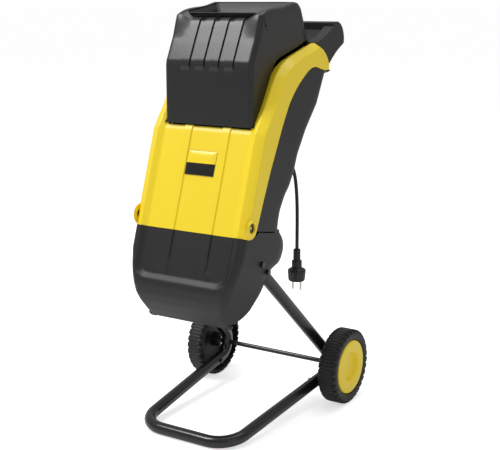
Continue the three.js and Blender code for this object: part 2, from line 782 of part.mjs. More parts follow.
function carryHandle() {
  const arms = SIDES.map(([, side]) => {
    const span = [HANDLE.half - HANDLE.arm, HANDLE.half].map((x) => x * side);
    return slabX(armOutline, ...span.sort((a, b) => a - b));
  });
  const grip = slabX(gripOutline, -HANDLE.half, HANDLE.half);
  const [[t0, s0], [t1, s1]] = deckLine;
  const deck = slabX(
    [[t0, s0], [t1, s1], [t1 + 1, s1 - 4], [t1 - 3, s1 - 4], [t0 - 1, s0 - 4]],
    -(HOOD_HALF - 0.5),
    HOOD_HALF - 0.5,
  );
  const clearOfFlank = slabX(
    [
      [TAIL_END[0] + SEAM + 2, TAIL_END[1] - 40],
      [TAIL_END[0] + SEAM + 0.4, TAIL_END[1] + SEAM],
      ...inset([...crown, [100, 500]], -SEAM).slice(0, crown.length).reverse().slice(1),
      [60, 540],
      [100, 500],
    ],
    HOOD_HALF + 0.5,
    HALF + 5,
  );
  const mirrored = clearOfFlank.mirror([1, 0, 0]);
  const whole = joined(grip, ...arms, deck);
  const overBack = block([-HALF, HALF], [100, 211], [400, 566.6]);
  return without(whole, clearOfFlank, mirrored, overBack);
}
const handle = add(body, "carry_handle", blackPlastic, carryHandle());

// ---------------------------------------------------------------- lower housing

// The lip of the yellow casing sweeps round the pivot; nothing of the lower housing is inside.
function lipSweep() {
  const reach = (height) => Math.hypot(APRON_RADIUS, PIVOT.t + height) + SEAM;
  const [plain, ridge] = [reach(RIB_HEIGHT), reach(RIDGE_HEIGHT)];
  const flank = APRON_RADIUS + SEAM;
  const half = [
    [0, plain],
    [RIDGE_INNER - 1, plain],
    [RIDGE_TOP - 1, ridge],
    [RIDGE_TOP + 2, ridge],
    [HALF + 8, flank],
  ];
  const top = [...half.slice(1).map(([x, r]) => [r, -x]).reverse(), ...half.map(([x, r]) => [r, x])];
  const profile = [[0, -HALF - 8], ...top, [0, HALF + 8]];
  const made = new THREE.LatheGeometry(profile.map(vec2), 64).rotateZ(-Math.PI / 2);
  const first = solid(made);
  const swept = first.volume() < 0 ? solid(flipped(made)) : first;
  return swept.translate([0, PIVOT.t, PIVOT.s]);
}

const EAR_X = RIDGE_TOP; // inner face of the ears
const EAR_RADIUS = 6.6;

function ears() {
  return SIDES.map(([, side]) => {
    const span = [EAR_X, EAR_X + EAR_WIDTH].map((x) => x * side).sort((a, b) => a - b);
    const neck = [
      ...arc([PIVOT.t, PIVOT.s], EAR_RADIUS, 60, 215, 9),
      [PIVOT.t + 26, PIVOT.s - 21],
      [PIVOT.t + 24, PIVOT.s - 40],
      [PIVOT.t + 46, PIVOT.s - 40],
      [PIVOT.t + 46, PIVOT.s - 22],
    ];
    const web = [EAR_X, BACK_HALF - 1].map((x) => x * side).sort((a, b) => a - b);
    return joined(
      slabX(neck, ...span),
      block(web, [PIVOT.t + 26, PIVOT.t + 46], [PIVOT.s - 38, PIVOT.s - 24]),
    );
  });
}

const strutEnd = new THREE.Vector3(STRUT_TOP.x, STRUT_TOP.t, STRUT_TOP.s).applyMatrix4(bodyMatrix);
const axleZ = WHEEL_RADIUS;
const cornerPoint = new THREE.Vector3(SIDE_X + 2, 40.5, axleZ - 17.7);

function strutSocket(side, radius) {
  const top = strutEnd.clone();
  const foot = cornerPoint.clone();
  const along = foot.clone().sub(top).normalize();
  const path = new Stations([top.clone().addScaledVector(along, -12), foot]);
  path.points.forEach((p) => (p.x *= side));
  const rod = extruded(circle(radius, 20), 1, { extrude: { extrudePath: path, steps: 1 } });
  return solid(rod.applyMatrix4(bodyInverse));
}

const LEDGE = { top: 106, foot: 90 };
const RECESS_CORNER = 26;

function lowerTrench() {
  const upper = slabS(trenchPlan(), LEDGE.top, 300);
  const ramp = slabX(
    [[-RIDGE_HEIGHT - 2, LEDGE.foot - 4.5], [0, LEDGE.top], [0, LEDGE.top + 1], [-60, LEDGE.top + 1]].concat([
      [-60, LEDGE.foot - 4.5],
    ]),
    -RIDGE_INNER,
    RIDGE_INNER,
  );
  const c = RECESS_CORNER;
  const windowOutline = [
    [-RIDGE_TOP - 4, 320],
    [-RIDGE_TOP - 4, LEDGE.foot + c],
    ...arc([-RIDGE_TOP + c - 6, LEDGE.foot + c], c + 2, 180, 270, 5).slice(1),
    ...arc([RIDGE_TOP - c + 6, LEDGE.foot + c], c + 2, 270, 360, 5).slice(0, -1),
    [RIDGE_TOP + 4, LEDGE.foot + c],
    [RIDGE_TOP + 4, 320],
  ];
  return joined(upper, ramp).intersect(slabT(windowOutline, -80, 40));
}

const SOCKET_BOLTS = [
  [74, 149.4],
  [100, 137.4],
];
const boltHoles = (radius) =>
  SOCKET_BOLTS.map(([t, s]) => rodX(radius, [-HALF - 20, HALF + 20], t, s, 16));

const housingCavity = (extra) =>
  lowerForm(WALL + extra).subtract(slabS(trenchPlan(WALL + extra), LEDGE.foot - 6, 300));

const CHIP_WAY_HALF = 84;

function lowerHousing() {
  const outer = lowerForm().subtract(lowerTrench());
  const chute = [
    [-321, 230],
    [-321, 243],
    [-262, 254],
    [-262, 230],
  ].map(leaning);
  const chipWay = slabX(chute, -CHIP_WAY_HALF, CHIP_WAY_HALF);
  const ribs = ribBars(LEDGE.top - 4, 300, 0);
  const solidForm = joined(outer, ...ribs).subtract(housingCavity(0)).subtract(chipWay);
  const cut = solidForm.intersect(slabX(lowerRegion, -HALF, HALF)).subtract(lipSweep());
  const sockets = SIDES.map(([, side]) => strutSocket(side, TUBE_RADIUS + 0.8));
  const pinBore = rodX(PIN_RADIUS + RUNNING, [-HALF - 20, HALF + 20], PIVOT.t, PIVOT.s, 20);
  const lug = block([-11, 11], [181, KNOB.t + 9], [199, NOTCH[1] - 1]);
  const insert = rodS(KNOB.stem + 0.8, [203, 230], 0, KNOB.t, 16);
  return without(joined(cut, lug, ...ears()), ...sockets, ...boltHoles(3.4), pinBore, insert);
}
const lower = add(body, "lower_housing", blackPlastic, lowerHousing());

// Steel liner round the cutting disc.
function chamberLiner() {
  const bore = DISC.radius + RING.clearance;
  const plate = housingCavity(GAP).intersect(block([-HALF, HALF], [-20, REAR_BACK], [LINER_S, LINER_S + 2]));
  const ring = rodS(bore + RING.wall, [LINER_S, RING.top], 0, SHAFT_T, 48);
  return joined(plate, ring).subtract(rodS(bore, [LINER_S - 5, RING.top + 5], 0, SHAFT_T, 48));
}
add(body, "chamber_liner", steel, chamberLiner());

// ---------------------------------------------------------------- rotating gear

function cuttingDisc() {
  const s0 = DISC.top - DISC.thickness;
  const disc = rodS(DISC.radius, [s0, DISC.top], 0, SHAFT_T, 48);
  const bore = rodS(SHAFT_RADIUS + GAP, [s0 - 5, DISC.top + 5], 0, SHAFT_T);
  const slots = [0, Math.PI].map((turn) =>
    block([14, 14 + KNIFE.length], [2, 12], [s0 - 5, DISC.top + 5])
      .rotate([0, 0, THREE.MathUtils.radToDeg(turn)])
      .translate([0, SHAFT_T, 0]),
  );
  const vanes = [0, 90, 180, 270].map((turn) =>
    block([20, DISC.radius - 6], [-2, 2], [s0 - 10, s0])
      .rotate([0, 0, turn + 45])
      .translate([0, SHAFT_T, 0]),
  );
  const screwBores = knifeScrews(2.6, 3.1);
  return without(joined(disc, ...vanes), bore, ...slots, ...screwBores);
}

// Two screws through each knife, turned round the shaft with it.
function knifeScrews(radius, drop = 0) {
  const screws = [];
  for (const turn of [0, 180])
    for (const x of [24, 52])
      screws.push(
        rodS(radius, [DISC.top - DISC.thickness - drop, DISC.top + KNIFE.thickness + drop], x, -9, 12)
          .rotate([0, 0, turn])
          .translate([0, SHAFT_T, 0]),
      );
  return screws;
}

function knife(turn) {
  const [s0, s1] = [DISC.top + GAP, DISC.top + KNIFE.thickness];
  const blade = slabX(
    [[-KNIFE.width + 8, s0], [2, s0], [9, s0 + 0.6], [0, s1], [-KNIFE.width + 8, s1]],
    13,
    13 + KNIFE.length,
  );
  const bores = [24, 52].map((x) => rodS(2.6, [s0 - 5, s1 + 5], x, -9, 12));
  return without(blade, ...bores).rotate([0, 0, turn]).translate([0, SHAFT_T, 0]);
}

add(body, "cutting_disc", steel, cuttingDisc());
add(body, "knife_a", steel, knife(0));
add(body, "knife_b", steel, knife(180));

knifeScrews(2.3, 0.6).forEach((shank, i) => {
  const x = i % 2 ? 52 : 24;
  const head = rodS(4.6, [DISC.top + KNIFE.thickness + GAP, DISC.top + KNIFE.thickness + 1.9], x, -9, 12)
    .rotate([0, 0, i < 2 ? 0 : 180])
    .translate([0, SHAFT_T, 0]);
  add(body, `knife_screw_${i + 1}`, steel, joined(shank, head));
});

const STATOR_TOP = STATOR.bottom + STATOR.length;
const ARMATURE_RADIUS = STATOR.bore - ROTOR_AIR;
const COMMUTATOR = { radius: 14, from: STATOR_TOP + 6, to: STATOR_TOP + 22 };
const UPPER_BEARING_S = STATOR_TOP + 34;
const SHAFT_TOP = UPPER_BEARING_S + BEARING.width;
const SHAFT_FOOT = DISC.top - DISC.thickness - 9;

add(
  body,
  "motor_shaft",
  steel,
  joined(
    rodS(SHAFT_RADIUS, [SHAFT_FOOT, SHAFT_TOP], 0, SHAFT_T),
    rodS(SHAFT_RADIUS + 3.5, [DISC.top + GAP, DISC.top + 6], 0, SHAFT_T),
  ),
);
add(
  body,
  "armature",
  copper,
  without(
    joined(
      rodS(ARMATURE_RADIUS, [STATOR.bottom + 4, STATOR_TOP - 4], 0, SHAFT_T, 36),
      rodS(COMMUTATOR.radius, [STATOR_TOP - 5, COMMUTATOR.to], 0, SHAFT_T, 24),
    ),
    rodS(SHAFT_RADIUS + GAP, [200, 400], 0, SHAFT_T),
  ),
);

function coolingFan() {
  const [s0, s1] = [PLATE_S + BEARING.width + 8, PLATE_S + BEARING.width + 22];
  const disc = rodS(28, [s1 - 2.5, s1], 0, SHAFT_T, 36);
  const hub = rodS(SHAFT_RADIUS + 5, [s0, s1], 0, SHAFT_T);
  const vanes = Array.from({ length: 8 }, (_, i) =>
    block([9, 27], [-1.2, 1.2], [s0 + 2, s1 - 1]).rotate([0, 0, i * 45]).translate([0, SHAFT_T, 0]),
  );
  return joined(disc, hub, ...vanes).subtract(rodS(SHAFT_RADIUS + GAP, [s0 - 5, s1 + 5], 0, SHAFT_T));
}
add(body, "cooling_fan", blackPlastic, coolingFan());

const discNut = (s0, s1) =>
  rodS(9, [s0, s1], 0, SHAFT_T, 6).subtract(rodS(SHAFT_RADIUS + GAP, [s0 - 5, s1 + 5], 0, SHAFT_T));
const DISC_FOOT = DISC.top - DISC.thickness;
add(body, "disc_nut", steel, discNut(DISC_FOOT - GAP - 7, DISC_FOOT - GAP));

// ---------------------------------------------------------------- still motor parts

function stator() {
  const pack = rodS(MOTOR_RADIUS, [STATOR.bottom, STATOR_TOP], 0, SHAFT_T, 36);
  return pack.subtract(rodS(STATOR.bore, [STATOR.bottom - 5, STATOR_TOP + 5], 0, SHAFT_T, 36));
}
add(body, "motor_stator", steel, stator());

const bearing = (s0) =>
  rodS(BEARING.radius, [s0, s0 + BEARING.width], 0, SHAFT_T, 28).subtract(
    rodS(SHAFT_RADIUS + RUNNING, [s0 - 5, s0 + 20], 0, SHAFT_T),
  );
add(body, "lower_bearing", steel, bearing(PLATE_S + 3 + GAP));
add(body, "upper_bearing", steel, bearing(UPPER_BEARING_S));

// End frame over the stator: a bridge with the upper bearing's cup.
function endFrame() {
  const s1 = UPPER_BEARING_S + BEARING.width;
  const bridge = block([-MOTOR_RADIUS, MOTOR_RADIUS], [SHAFT_T - 15, SHAFT_T + 15], [s1 - 6, s1 + 2]);
  const feet = [-1, 1].map((side) => {
    const span = [MOTOR_RADIUS - 6, MOTOR_RADIUS].map((x) => x * side).sort((a, b) => a - b);
    return block(span, [SHAFT_T - 15, SHAFT_T + 15], [STATOR_TOP + GAP, s1]);
  });
  const cup = rodS(BEARING.radius + 4, [UPPER_BEARING_S - 1, s1 + 2], 0, SHAFT_T);
  const seat = rodS(BEARING.radius + GAP, [UPPER_BEARING_S - 5, s1 + GAP], 0, SHAFT_T);
  return joined(bridge, cup, ...feet).subtract(seat);
}
add(body, "motor_end_frame", castAlloy, endFrame());

// Stand-off posts that carry the stator over the bearing plate.
for (const [name, side] of SIDES) {
  const post = [PLATE_S + PLATE_THICKNESS + GAP, STATOR.bottom - GAP];
  add(body, `${name}_motor_post`, steel, rodS(4, post, side * 37, SHAFT_T, 12));
}

for (const [name, side] of SIDES) {
  const span = [COMMUTATOR.radius + 0.5, COMMUTATOR.radius + 16].map((x) => x * side);
  const [x0, x1] = span.sort((a, b) => a - b);
  add(
    body,
    `${name}_brush`,
    copper,
    block([x0, x1], [SHAFT_T - 4, SHAFT_T + 4], [COMMUTATOR.from + 3, COMMUTATOR.to - 3]),
  );
}

// ---------------------------------------------------------------- controls

const switchFace = REAR_T_AT_SWITCH + 2;
add(
  body,
  "switch_box",
  blackPlastic,
  without(
    joined(
      block(
        [-SWITCH.width / 2, SWITCH.width / 2],
        [switchFace - SWITCH.depth, switchFace],
        [SWITCH.s - SWITCH.height / 2, SWITCH.s + SWITCH.height / 2],
      ),
      block(
        [-SWITCH.width / 2 - 3, SWITCH.width / 2 + 3],
        [switchFace + 1.5, switchFace + 4],
        [SWITCH.s - SWITCH.height / 2 - 3, SWITCH.s + SWITCH.height / 2 + 3],
      ),
      block(
        [-SWITCH.width / 2 + 1, SWITCH.width / 2 - 1],
        [switchFace - 1, switchFace + 2],
        [SWITCH.s - SWITCH.height / 2 + 1, SWITCH.s + SWITCH.height / 2 - 1],
      ),
    ),
    block([-15, 15], [switchFace - 12, switchFace + 20], [SWITCH.s - 12, SWITCH.s + 12]),
  ),
);

const ROCKER = { half: 14, reach: 11, pivotT: switchFace };
add(
  body,
  "switch_rocker",
  redPlastic,
  slabX(
    [
      [ROCKER.pivotT - 3, SWITCH.s - ROCKER.reach],
      [ROCKER.pivotT + 7.5, SWITCH.s - ROCKER.reach],
      [ROCKER.pivotT + 4.5, SWITCH.s],
      [ROCKER.pivotT + 5.5, SWITCH.s + ROCKER.reach],
      [ROCKER.pivotT - 3, SWITCH.s + ROCKER.reach],
      [ROCKER.pivotT - 8, SWITCH.s],
    ],
    -ROCKER.half,
    ROCKER.half,
  ),
);

function resetButton() {
  const collar = rodT(RESET_RADIUS - 1.5, [switchFace - 16, switchFace + 9], RESET_X, SWITCH.s, 20);
  return joined(collar, rodT(RESET_RADIUS - 0.2, [switchFace - 20, switchFace - 14], RESET_X, SWITCH.s, 20));
}
function resetBreaker() {
  const can = rodT(RESET_RADIUS + 4, [switchFace - 32, switchFace - 8.5], RESET_X, SWITCH.s, 20);
  const bush = rodT(RESET_RADIUS, [switchFace - 9, switchFace + 3], RESET_X, SWITCH.s, 20);
  const well = rodT(RESET_RADIUS + 0.4, [switchFace - 26, switchFace - 11], RESET_X, SWITCH.s, 20);
  const way = rodT(RESET_RADIUS - 1, [switchFace - 15, switchFace + 20], RESET_X, SWITCH.s, 20);
  return joined(can, bush).subtract(joined(well, way));
}
add(body, "reset_button", redPlastic, resetButton());
add(body, "overload_breaker", blackPlastic, resetBreaker());

// Knob that locks the upper body down on the lower housing.
function lockingKnob() {
  const s0 = TAB.top + GAP;
  const lobes = Array.from({ length: 6 }, (_, i) => {
    const a = (Math.PI * i) / 3;
    return rodS(6, [s0, s0 + KNOB.height], 13 * Math.cos(a), KNOB.t + 13 * Math.sin(a), 14);
  });
  const core = rodS(14, [s0, s0 + KNOB.height + 2], 0, KNOB.t, 24);
  const stem = rodS(KNOB.stem, [204, s0 + 1], 0, KNOB.t, 16);
  return joined(core, ...lobes, stem);
}
add(body, "locking_knob", blackPlastic, lockingKnob());

for (const [name, side] of SIDES) {
  const floor = HALF + BOSS_PROUD - BOSS_RECESS.depth;
  const shank = [EAR_X - 3, floor + 1].map((x) => x * side).sort((a, b) => a - b);
  const head = [floor + GAP, floor + GAP + PIN_HEAD.length].map((x) => x * side);
  const socket = [floor + 1.8, floor + 10].map((x) => x * side).sort((a, b) => a - b);
  add(
    body,
    `${name}_pivot_screw`,
    steel,
    joined(
      rodX(PIN_RADIUS, shank, PIVOT.t, PIVOT.s, 20),
      rodX(PIN_HEAD.radius, head.sort((a, b) => a - b), PIVOT.t, PIVOT.s, 24),
    ).subtract(rodX(3.2, socket, PIVOT.t, PIVOT.s, 6)),
  );
}

// Rating badge between the front strips: a plain two-tone film, no lettering.
const BADGE = { s0: 296, s1: 344, thickness: 1 };
const badgeHalf = RIB_MIDDLE - RIB_WIDTH / 2 - 0.8;
add(
  body,
  "front_badge",
  labelFilm,
  block([-badgeHalf, badgeHalf], [-GAP - BADGE.thickness, -GAP], [BADGE.s0, BADGE.s1]),
);

// ---------------------------------------------------------------- mains lead

const glandFace = 156.5; // rear wall at the gland
function cableGland() {
  const body0 = rodT(GLAND.radius, [glandFace - 8, glandFace + 1], LEAD_X, GLAND_S, 20);
  const collar = rodT(GLAND.radius + 3, [glandFace + 3.2, glandFace + 3.2 + GLAND.collar], LEAD_X, GLAND_S, 20);
  const neck = rodT(GLAND.radius - 1, [glandFace, glandFace + 5], LEAD_X, GLAND_S, 20);
  const sleeve = rodT(9, [glandFace + 5, glandFace + 3 + GLAND.sleeve], LEAD_X, GLAND_S, 16, GLAND.tip);
  return joined(body0, collar, neck, sleeve);
}
add(body, "cable_gland", blackRubber, cableGland());

const glandTip = new THREE.Vector3(LEAD_X, glandFace + 3 + GLAND.sleeve + GAP, GLAND_S).applyMatrix4(
  bodyMatrix,
);
const LEAD_FALL = { y: -41.5, top: 333 }; // where it hangs plumb, and the plug's top
const leadRoute = [
  [glandTip.y, glandTip.z],
  [-72, 517.5],
  [-62.5, 509],
  [-55.4, 496.5],
  [-50, 480],
  [-46, 460],
  [-43.5, 438],
  [-42, 415],
  [-41.5, 390],
  [-41.5, 362],
  [LEAD_FALL.y, LEAD_FALL.top + GAP],
];
function leadTube() {
  const curve = new THREE.CatmullRomCurve3(
    leadRoute.map(([y, z]) => new THREE.Vector3(LEAD_X, y, z)),
    false,
    "centripetal",
  );
  const stations = new Stations(curve.getSpacedPoints(16));
  return tube(stations, LEAD_RADIUS, 0, 10);
}
add(machine, "mains_lead", blackRubber, leadTube());

// Moulded plug, hanging pins down.
const PLUG = { neck: 7.6, waist: 11, flange: 19.4, bottom: 264 };
function plugBody() {
  const top = LEAD_FALL.top;
  const profile = [
    [0, top],
    [PLUG.neck - 0.6, top],
    [PLUG.neck + 0.6, top - 22],
    [PLUG.waist, top - 24],
    [PLUG.waist - 0.6, top - 38],
    [PLUG.flange, top - 45],
    [PLUG.flange - 1.2, PLUG.bottom + 2],
    [PLUG.flange - 3.5, PLUG.bottom],
    [0, PLUG.bottom],
  ];
  const turned = new THREE.LatheGeometry(profile.map(vec2), 28).rotateX(Math.PI / 2);
  const first = solid(turned);
  const made = first.volume() < 0 ? solid(flipped(turned)) : first;
  return made.translate([LEAD_X, LEAD_FALL.y, 0]);
}
add(machine, "mains_plug", blackRubber, plugBody());

const PLUG_PIN = { radius: 2.4, length: 19, spacing: 19 };
for (const [name, side] of SIDES) {
  const reach = [PLUG.bottom - GAP - PLUG_PIN.length, PLUG.bottom - GAP];
  const x = LEAD_X + (side * PLUG_PIN.spacing) / 2;
  add(machine, `${name}_plug_pin`, steel, rodS(PLUG_PIN.radius, reach, x, LEAD_FALL.y, 14));
}

// ---------------------------------------------------------------- stand

const footCorner = new THREE.Vector3(FOOT_BAR.halfWidth, FOOT_BAR.y, TUBE_RADIUS);
const towardsCorner = cornerPoint.clone().sub(footCorner);
const jointPoint = footCorner
  .clone()
  .addScaledVector(towardsCorner, (-JOINT_BACK - FOOT_BAR.y) / towardsCorner.y);
const sideways = (p, side) => new THREE.Vector3(p.x * side, p.y, p.z);
const TUBE_BORE = TUBE_RADIUS - TUBE_WALL;

function footTube() {
  const corners = [
    sideways(jointPoint, -1),
    sideways(footCorner, -1),
    footCorner.clone(),
    jointPoint.clone(),
  ];
  const bar = tube(bentPath(corners, [FOOT_BAR.bend, FOOT_BAR.bend]), TUBE_RADIUS, TUBE_BORE);
  const along = towardsCorner.clone().normalize();
  const spigots = SIDES.map(([, side]) => {
    const [a, b] = [-30, SPIGOT.length].map((d) =>
      sideways(jointPoint.clone().addScaledVector(along, d), side),
    );
    return tube(new Stations([a, b]), TUBE_BORE - SPIGOT.clearance, TUBE_BORE - 2.2);
  });
  const plugs = SIDES.map(([, side]) => {
    const [a, b] = [-30, -6].map((d) => sideways(jointPoint.clone().addScaledVector(along, d), side));
    const sleeve = tube(new Stations([a, b]), TUBE_BORE + 0.2, TUBE_BORE - 2.2);
    return sleeve;
  });
  return without(joined(bar, ...spigots, ...plugs), ...frameBoltBores());
}

// Cross bolts through each tube joint.
const boltAt = jointPoint
  .clone()
  .addScaledVector(towardsCorner.clone().normalize(), SPIGOT.length * 0.6);
const FRAME_BOLT = { radius: 2.8, head: 5, headLength: 4 };
function frameBoltBores() {
  return SIDES.map(([, side]) => {
    const span = [boltAt.x - 30, boltAt.x + 30].map((x) => x * side).sort((a, b) => a - b);
    return rodX(FRAME_BOLT.radius + GAP, span, boltAt.y, boltAt.z, 14);
  });
}
add(machine, "foot_tube", blackPaint, footTube());

// The bend is set so that the tube's middle line passes the axle.
function strutBend() {
  const back = strutEnd.clone().sub(cornerPoint).normalize();
  const down = jointPoint.clone().sub(cornerPoint).normalize();
  const half = back.angleTo(down) / 2;
  const reach = Math.hypot(cornerPoint.y, cornerPoint.z - axleZ);
  return reach / (1 / Math.sin(half) - 1);
}
const BEND_RADIUS = strutBend();

function strutTube(side) {
  const start = jointPoint
    .clone()
    .addScaledVector(towardsCorner.clone().normalize(), GAP);
  const corners = [start, cornerPoint, strutEnd].map((p) => sideways(p, side));
  const bar = tube(bentPath(corners, [BEND_RADIUS], 10), TUBE_RADIUS, TUBE_BORE);
  const axleBore = rodX(AXLE_RADIUS + RUNNING, [-200, 200], 0, axleZ, 20);
  const inMachine = (made) => solid(geometryOf(made).applyMatrix4(bodyMatrix));
  const bolts = boltHoles(3.4).map(inMachine);
  return without(bar, axleBore, ...bolts, ...frameBoltBores());
}
for (const [name, side] of SIDES) {
  add(machine, `${name}_strut_tube`, blackPaint, strutTube(side));

  const outer = boltAt.x + TUBE_RADIUS + GAP;
  const innerFace = boltAt.x - TUBE_RADIUS - GAP;
  const { radius, head, headLength } = FRAME_BOLT;
  const span = (a, b) => [a * side, b * side].sort((p, q) => p - q);
  add(
    machine,
    `${name}_joint_bolt`,
    steel,
    joined(
      rodX(radius, span(innerFace - headLength + 1, outer + headLength + 1), boltAt.y, boltAt.z, 14),
      rodX(head, span(innerFace - headLength, innerFace), boltAt.y, boltAt.z, 6),
    ),
  );
  add(
    machine,
    `${name}_joint_nut`,
    steel,
    rodX(head, span(outer, outer + headLength), boltAt.y, boltAt.z, 6).subtract(
      rodX(radius + GAP, span(outer - 5, outer + 20), boltAt.y, boltAt.z, 14),
    ),
  );

  // Two bolts hold each strut in its socket.
  SOCKET_BOLTS.forEach(([t, s], i) => {
    const shank = rodX(3, span(STRUT_TOP.x - 16, BACK_HALF + 1), t, s, 14);
    const bolt = shank.add(rodX(6, span(BACK_HALF + GAP, BACK_HALF + 4.3), t, s, 6));
    add(body, `${name}_socket_bolt_${i + 1}`, steel, bolt);
  });
}

// ---------------------------------------------------------------- axle and wheels

const TUBE_OUTER = SIDE_X + 2 + TUBE_RADIUS;
const wheelInner = TUBE_OUTER + WHEEL_GAP + 2 * GAP;
const wheelOuter = wheelInner + WHEEL_WIDTH;
const axleEnd = wheelOuter - 12;

add(machine, "axle", steel, rodX(AXLE_RADIUS, [-axleEnd, axleEnd], 0, axleZ, 20));

// Profiles are [radius, distance outwards from the wheel's inner face].
const wheelProfile = [
  [WHEEL_RADIUS - 4, 0],
  [WHEEL_RADIUS, 5],
  [WHEEL_RADIUS, WHEEL_WIDTH - 8],
  [WHEEL_RADIUS - 5, WHEEL_WIDTH - 1],
  [WHEEL_RADIUS - 10, WHEEL_WIDTH],
  [HUB_COVER_RADIUS + 3, WHEEL_WIDTH - 1.5],
  [HUB_COVER_RADIUS + 0.6, WHEEL_WIDTH - 3],
  [HUB_COVER_RADIUS + 0.6, WHEEL_WIDTH - 8],
  [HUB_RADIUS, WHEEL_WIDTH - 14],
  [AXLE_RADIUS + RUNNING, WHEEL_WIDTH - 14],
  [AXLE_RADIUS + RUNNING, 0],
  [HUB_RADIUS, 0],
  [HUB_RADIUS, WHEEL_WIDTH - 20],
  [HUB_COVER_RADIUS, WHEEL_WIDTH - 14],
  [WHEEL_RADIUS - 9, WHEEL_WIDTH - 18],
  [WHEEL_RADIUS - 9, 0],
];
const coverProfile = [
  [0.01, WHEEL_WIDTH - 7.5],
  [24, WHEEL_WIDTH - 7.5],
  [31, WHEEL_WIDTH - 6.5],
  [36, WHEEL_WIDTH - 1.5],
  [50, WHEEL_WIDTH],
  [HUB_COVER_RADIUS, WHEEL_WIDTH - 1],
  [HUB_COVER_RADIUS, WHEEL_WIDTH - 7],
  [50, WHEEL_WIDTH - 4],
  [37, WHEEL_WIDTH - 4.5],
  [31, WHEEL_WIDTH - 9],
  [0.01, WHEEL_WIDTH - 9.6],
];
const placed = (profile, side) =>
  turnedX(profile.map(([r, x]) => [r, (wheelInner + x) * side])).translate([0, 0, axleZ]);

for (const [name, side] of SIDES) {
  const span = (a, b) => [a * side, b * side].sort((p, q) => p - q);
  const ring = (outer, a, b) =>
    rodX(outer, span(a, b), 0, axleZ).subtract(
      rodX(AXLE_RADIUS + RUNNING, span(a - 5, b + 5), 0, axleZ, 20),
    );
  add(machine, `${name}_wheel`, blackRubber, placed(wheelProfile, side));
  add(machine, `${name}_hub_cover`, yellowPlastic, placed(coverProfile, side));
  add(machine, `${name}_washer`, steel, ring(9, TUBE_OUTER + GAP, TUBE_OUTER + GAP + WHEEL_GAP));
  const clip = wheelOuter - 14 + GAP;
  add(machine, `${name}_push_nut`, steel, ring(8.5, clip, clip + 1.2));
}

// ---------------------------------------------------------------- origin

// Named extents along y, then the middle of the depth is brought to y = 0.
const frontReach = FOOT_BAR.y - TUBE_RADIUS;
const rearReach = WHEEL_RADIUS;
machine.position.y = -(frontReach + rearReach) / 2;

const shredder = new THREE.Group();
shredder.add(machine);
export default shredder;
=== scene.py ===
"""Garden shredder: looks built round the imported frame, as a Blender add-on run as a script."""

import json
import math

import bpy
import numpy as np
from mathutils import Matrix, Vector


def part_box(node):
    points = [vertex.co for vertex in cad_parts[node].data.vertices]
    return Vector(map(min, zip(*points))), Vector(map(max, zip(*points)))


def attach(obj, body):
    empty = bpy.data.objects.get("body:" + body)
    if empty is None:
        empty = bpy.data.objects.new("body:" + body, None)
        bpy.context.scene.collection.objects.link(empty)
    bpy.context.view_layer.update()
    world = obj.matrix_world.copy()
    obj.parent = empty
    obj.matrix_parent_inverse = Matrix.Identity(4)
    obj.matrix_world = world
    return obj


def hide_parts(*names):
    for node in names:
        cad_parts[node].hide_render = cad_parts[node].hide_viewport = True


bl_info = {
    "name": "Garden Shredder",
    "version": (1, 0, 0),
    "blender": (4, 5, 0),
    "location": "3D View > Sidebar > Shredder",
    "description": "Casings, hopper, stand, wheels and mains lead of an electric garden shredder",
    "category": "Add Mesh",
}

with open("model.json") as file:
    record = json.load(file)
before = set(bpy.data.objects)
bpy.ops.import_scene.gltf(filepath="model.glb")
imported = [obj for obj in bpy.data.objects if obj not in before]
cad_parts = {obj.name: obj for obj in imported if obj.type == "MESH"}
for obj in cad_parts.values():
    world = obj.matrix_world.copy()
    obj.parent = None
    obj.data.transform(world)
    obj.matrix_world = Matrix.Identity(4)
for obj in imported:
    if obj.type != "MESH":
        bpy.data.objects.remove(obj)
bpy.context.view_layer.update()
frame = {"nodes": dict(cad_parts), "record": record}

# ---------------------------------------------------------------- the machine's own frames

# Sizes are millimetres. The upright frame has its zero on the ground under the axle; the body
# has a leaning frame: x across, t into the depth from its front face, s along it.
LEAN = math.radians(18.81)
BODY_FOOT = np.array([0.0, -385.0, 237.0])
AXLE_LOW, AXLE_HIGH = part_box("axle")
AXLE_Y = (AXLE_LOW.y + AXLE_HIGH.y) / 2
AXLE_Z = (AXLE_LOW.z + AXLE_HIGH.z) / 2 * 1000
HALF = 130.0
BACK_HALF = 127.5
RIDGE = 7.0
SEAM = 0.5
PIVOT = (8.0, 210.0)
SIDES = (("left", -1), ("right", 1))


def upright(points):
    """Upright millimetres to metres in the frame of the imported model: only a shift along y."""
    out = np.asarray(points, float) / 1000
    return out + np.array([0, AXLE_Y, 0])


def to_upright(t, s):
    """A place (t, s) of the leaning body as upright y and z: turned by the lean, set on its foot."""
    y = BODY_FOOT[1] + math.cos(LEAN) * t + math.sin(LEAN) * s
    z = BODY_FOOT[2] - math.sin(LEAN) * t + math.cos(LEAN) * s
    return y, z


def leaning(points):
    """Points (x, t, s) of the leaning body in metres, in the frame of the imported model."""
    p = np.asarray(points, float)
    y, z = to_upright(p[..., 1], p[..., 2])
    return upright(np.stack([p[..., 0], y, z], -1))


def to_leaning(points):
    """Upright (y, z) pairs as (t, s) pairs."""
    p = np.asarray(points, float) - BODY_FOOT[1:]
    y, z = p[..., 0], p[..., 1]
    return np.stack(
        [math.cos(LEAN) * y - math.sin(LEAN) * z, math.sin(LEAN) * y + math.cos(LEAN) * z], -1
    )


# ---------------------------------------------------------------- curves and surfaces


def smoothstep(x, low, high):
    """0 below low, 1 above high, and 3k^2 - 2k^3 between."""
    k = np.clip((x - low) / (high - low), 0, 1)
    return k * k * (3 - 2 * k)


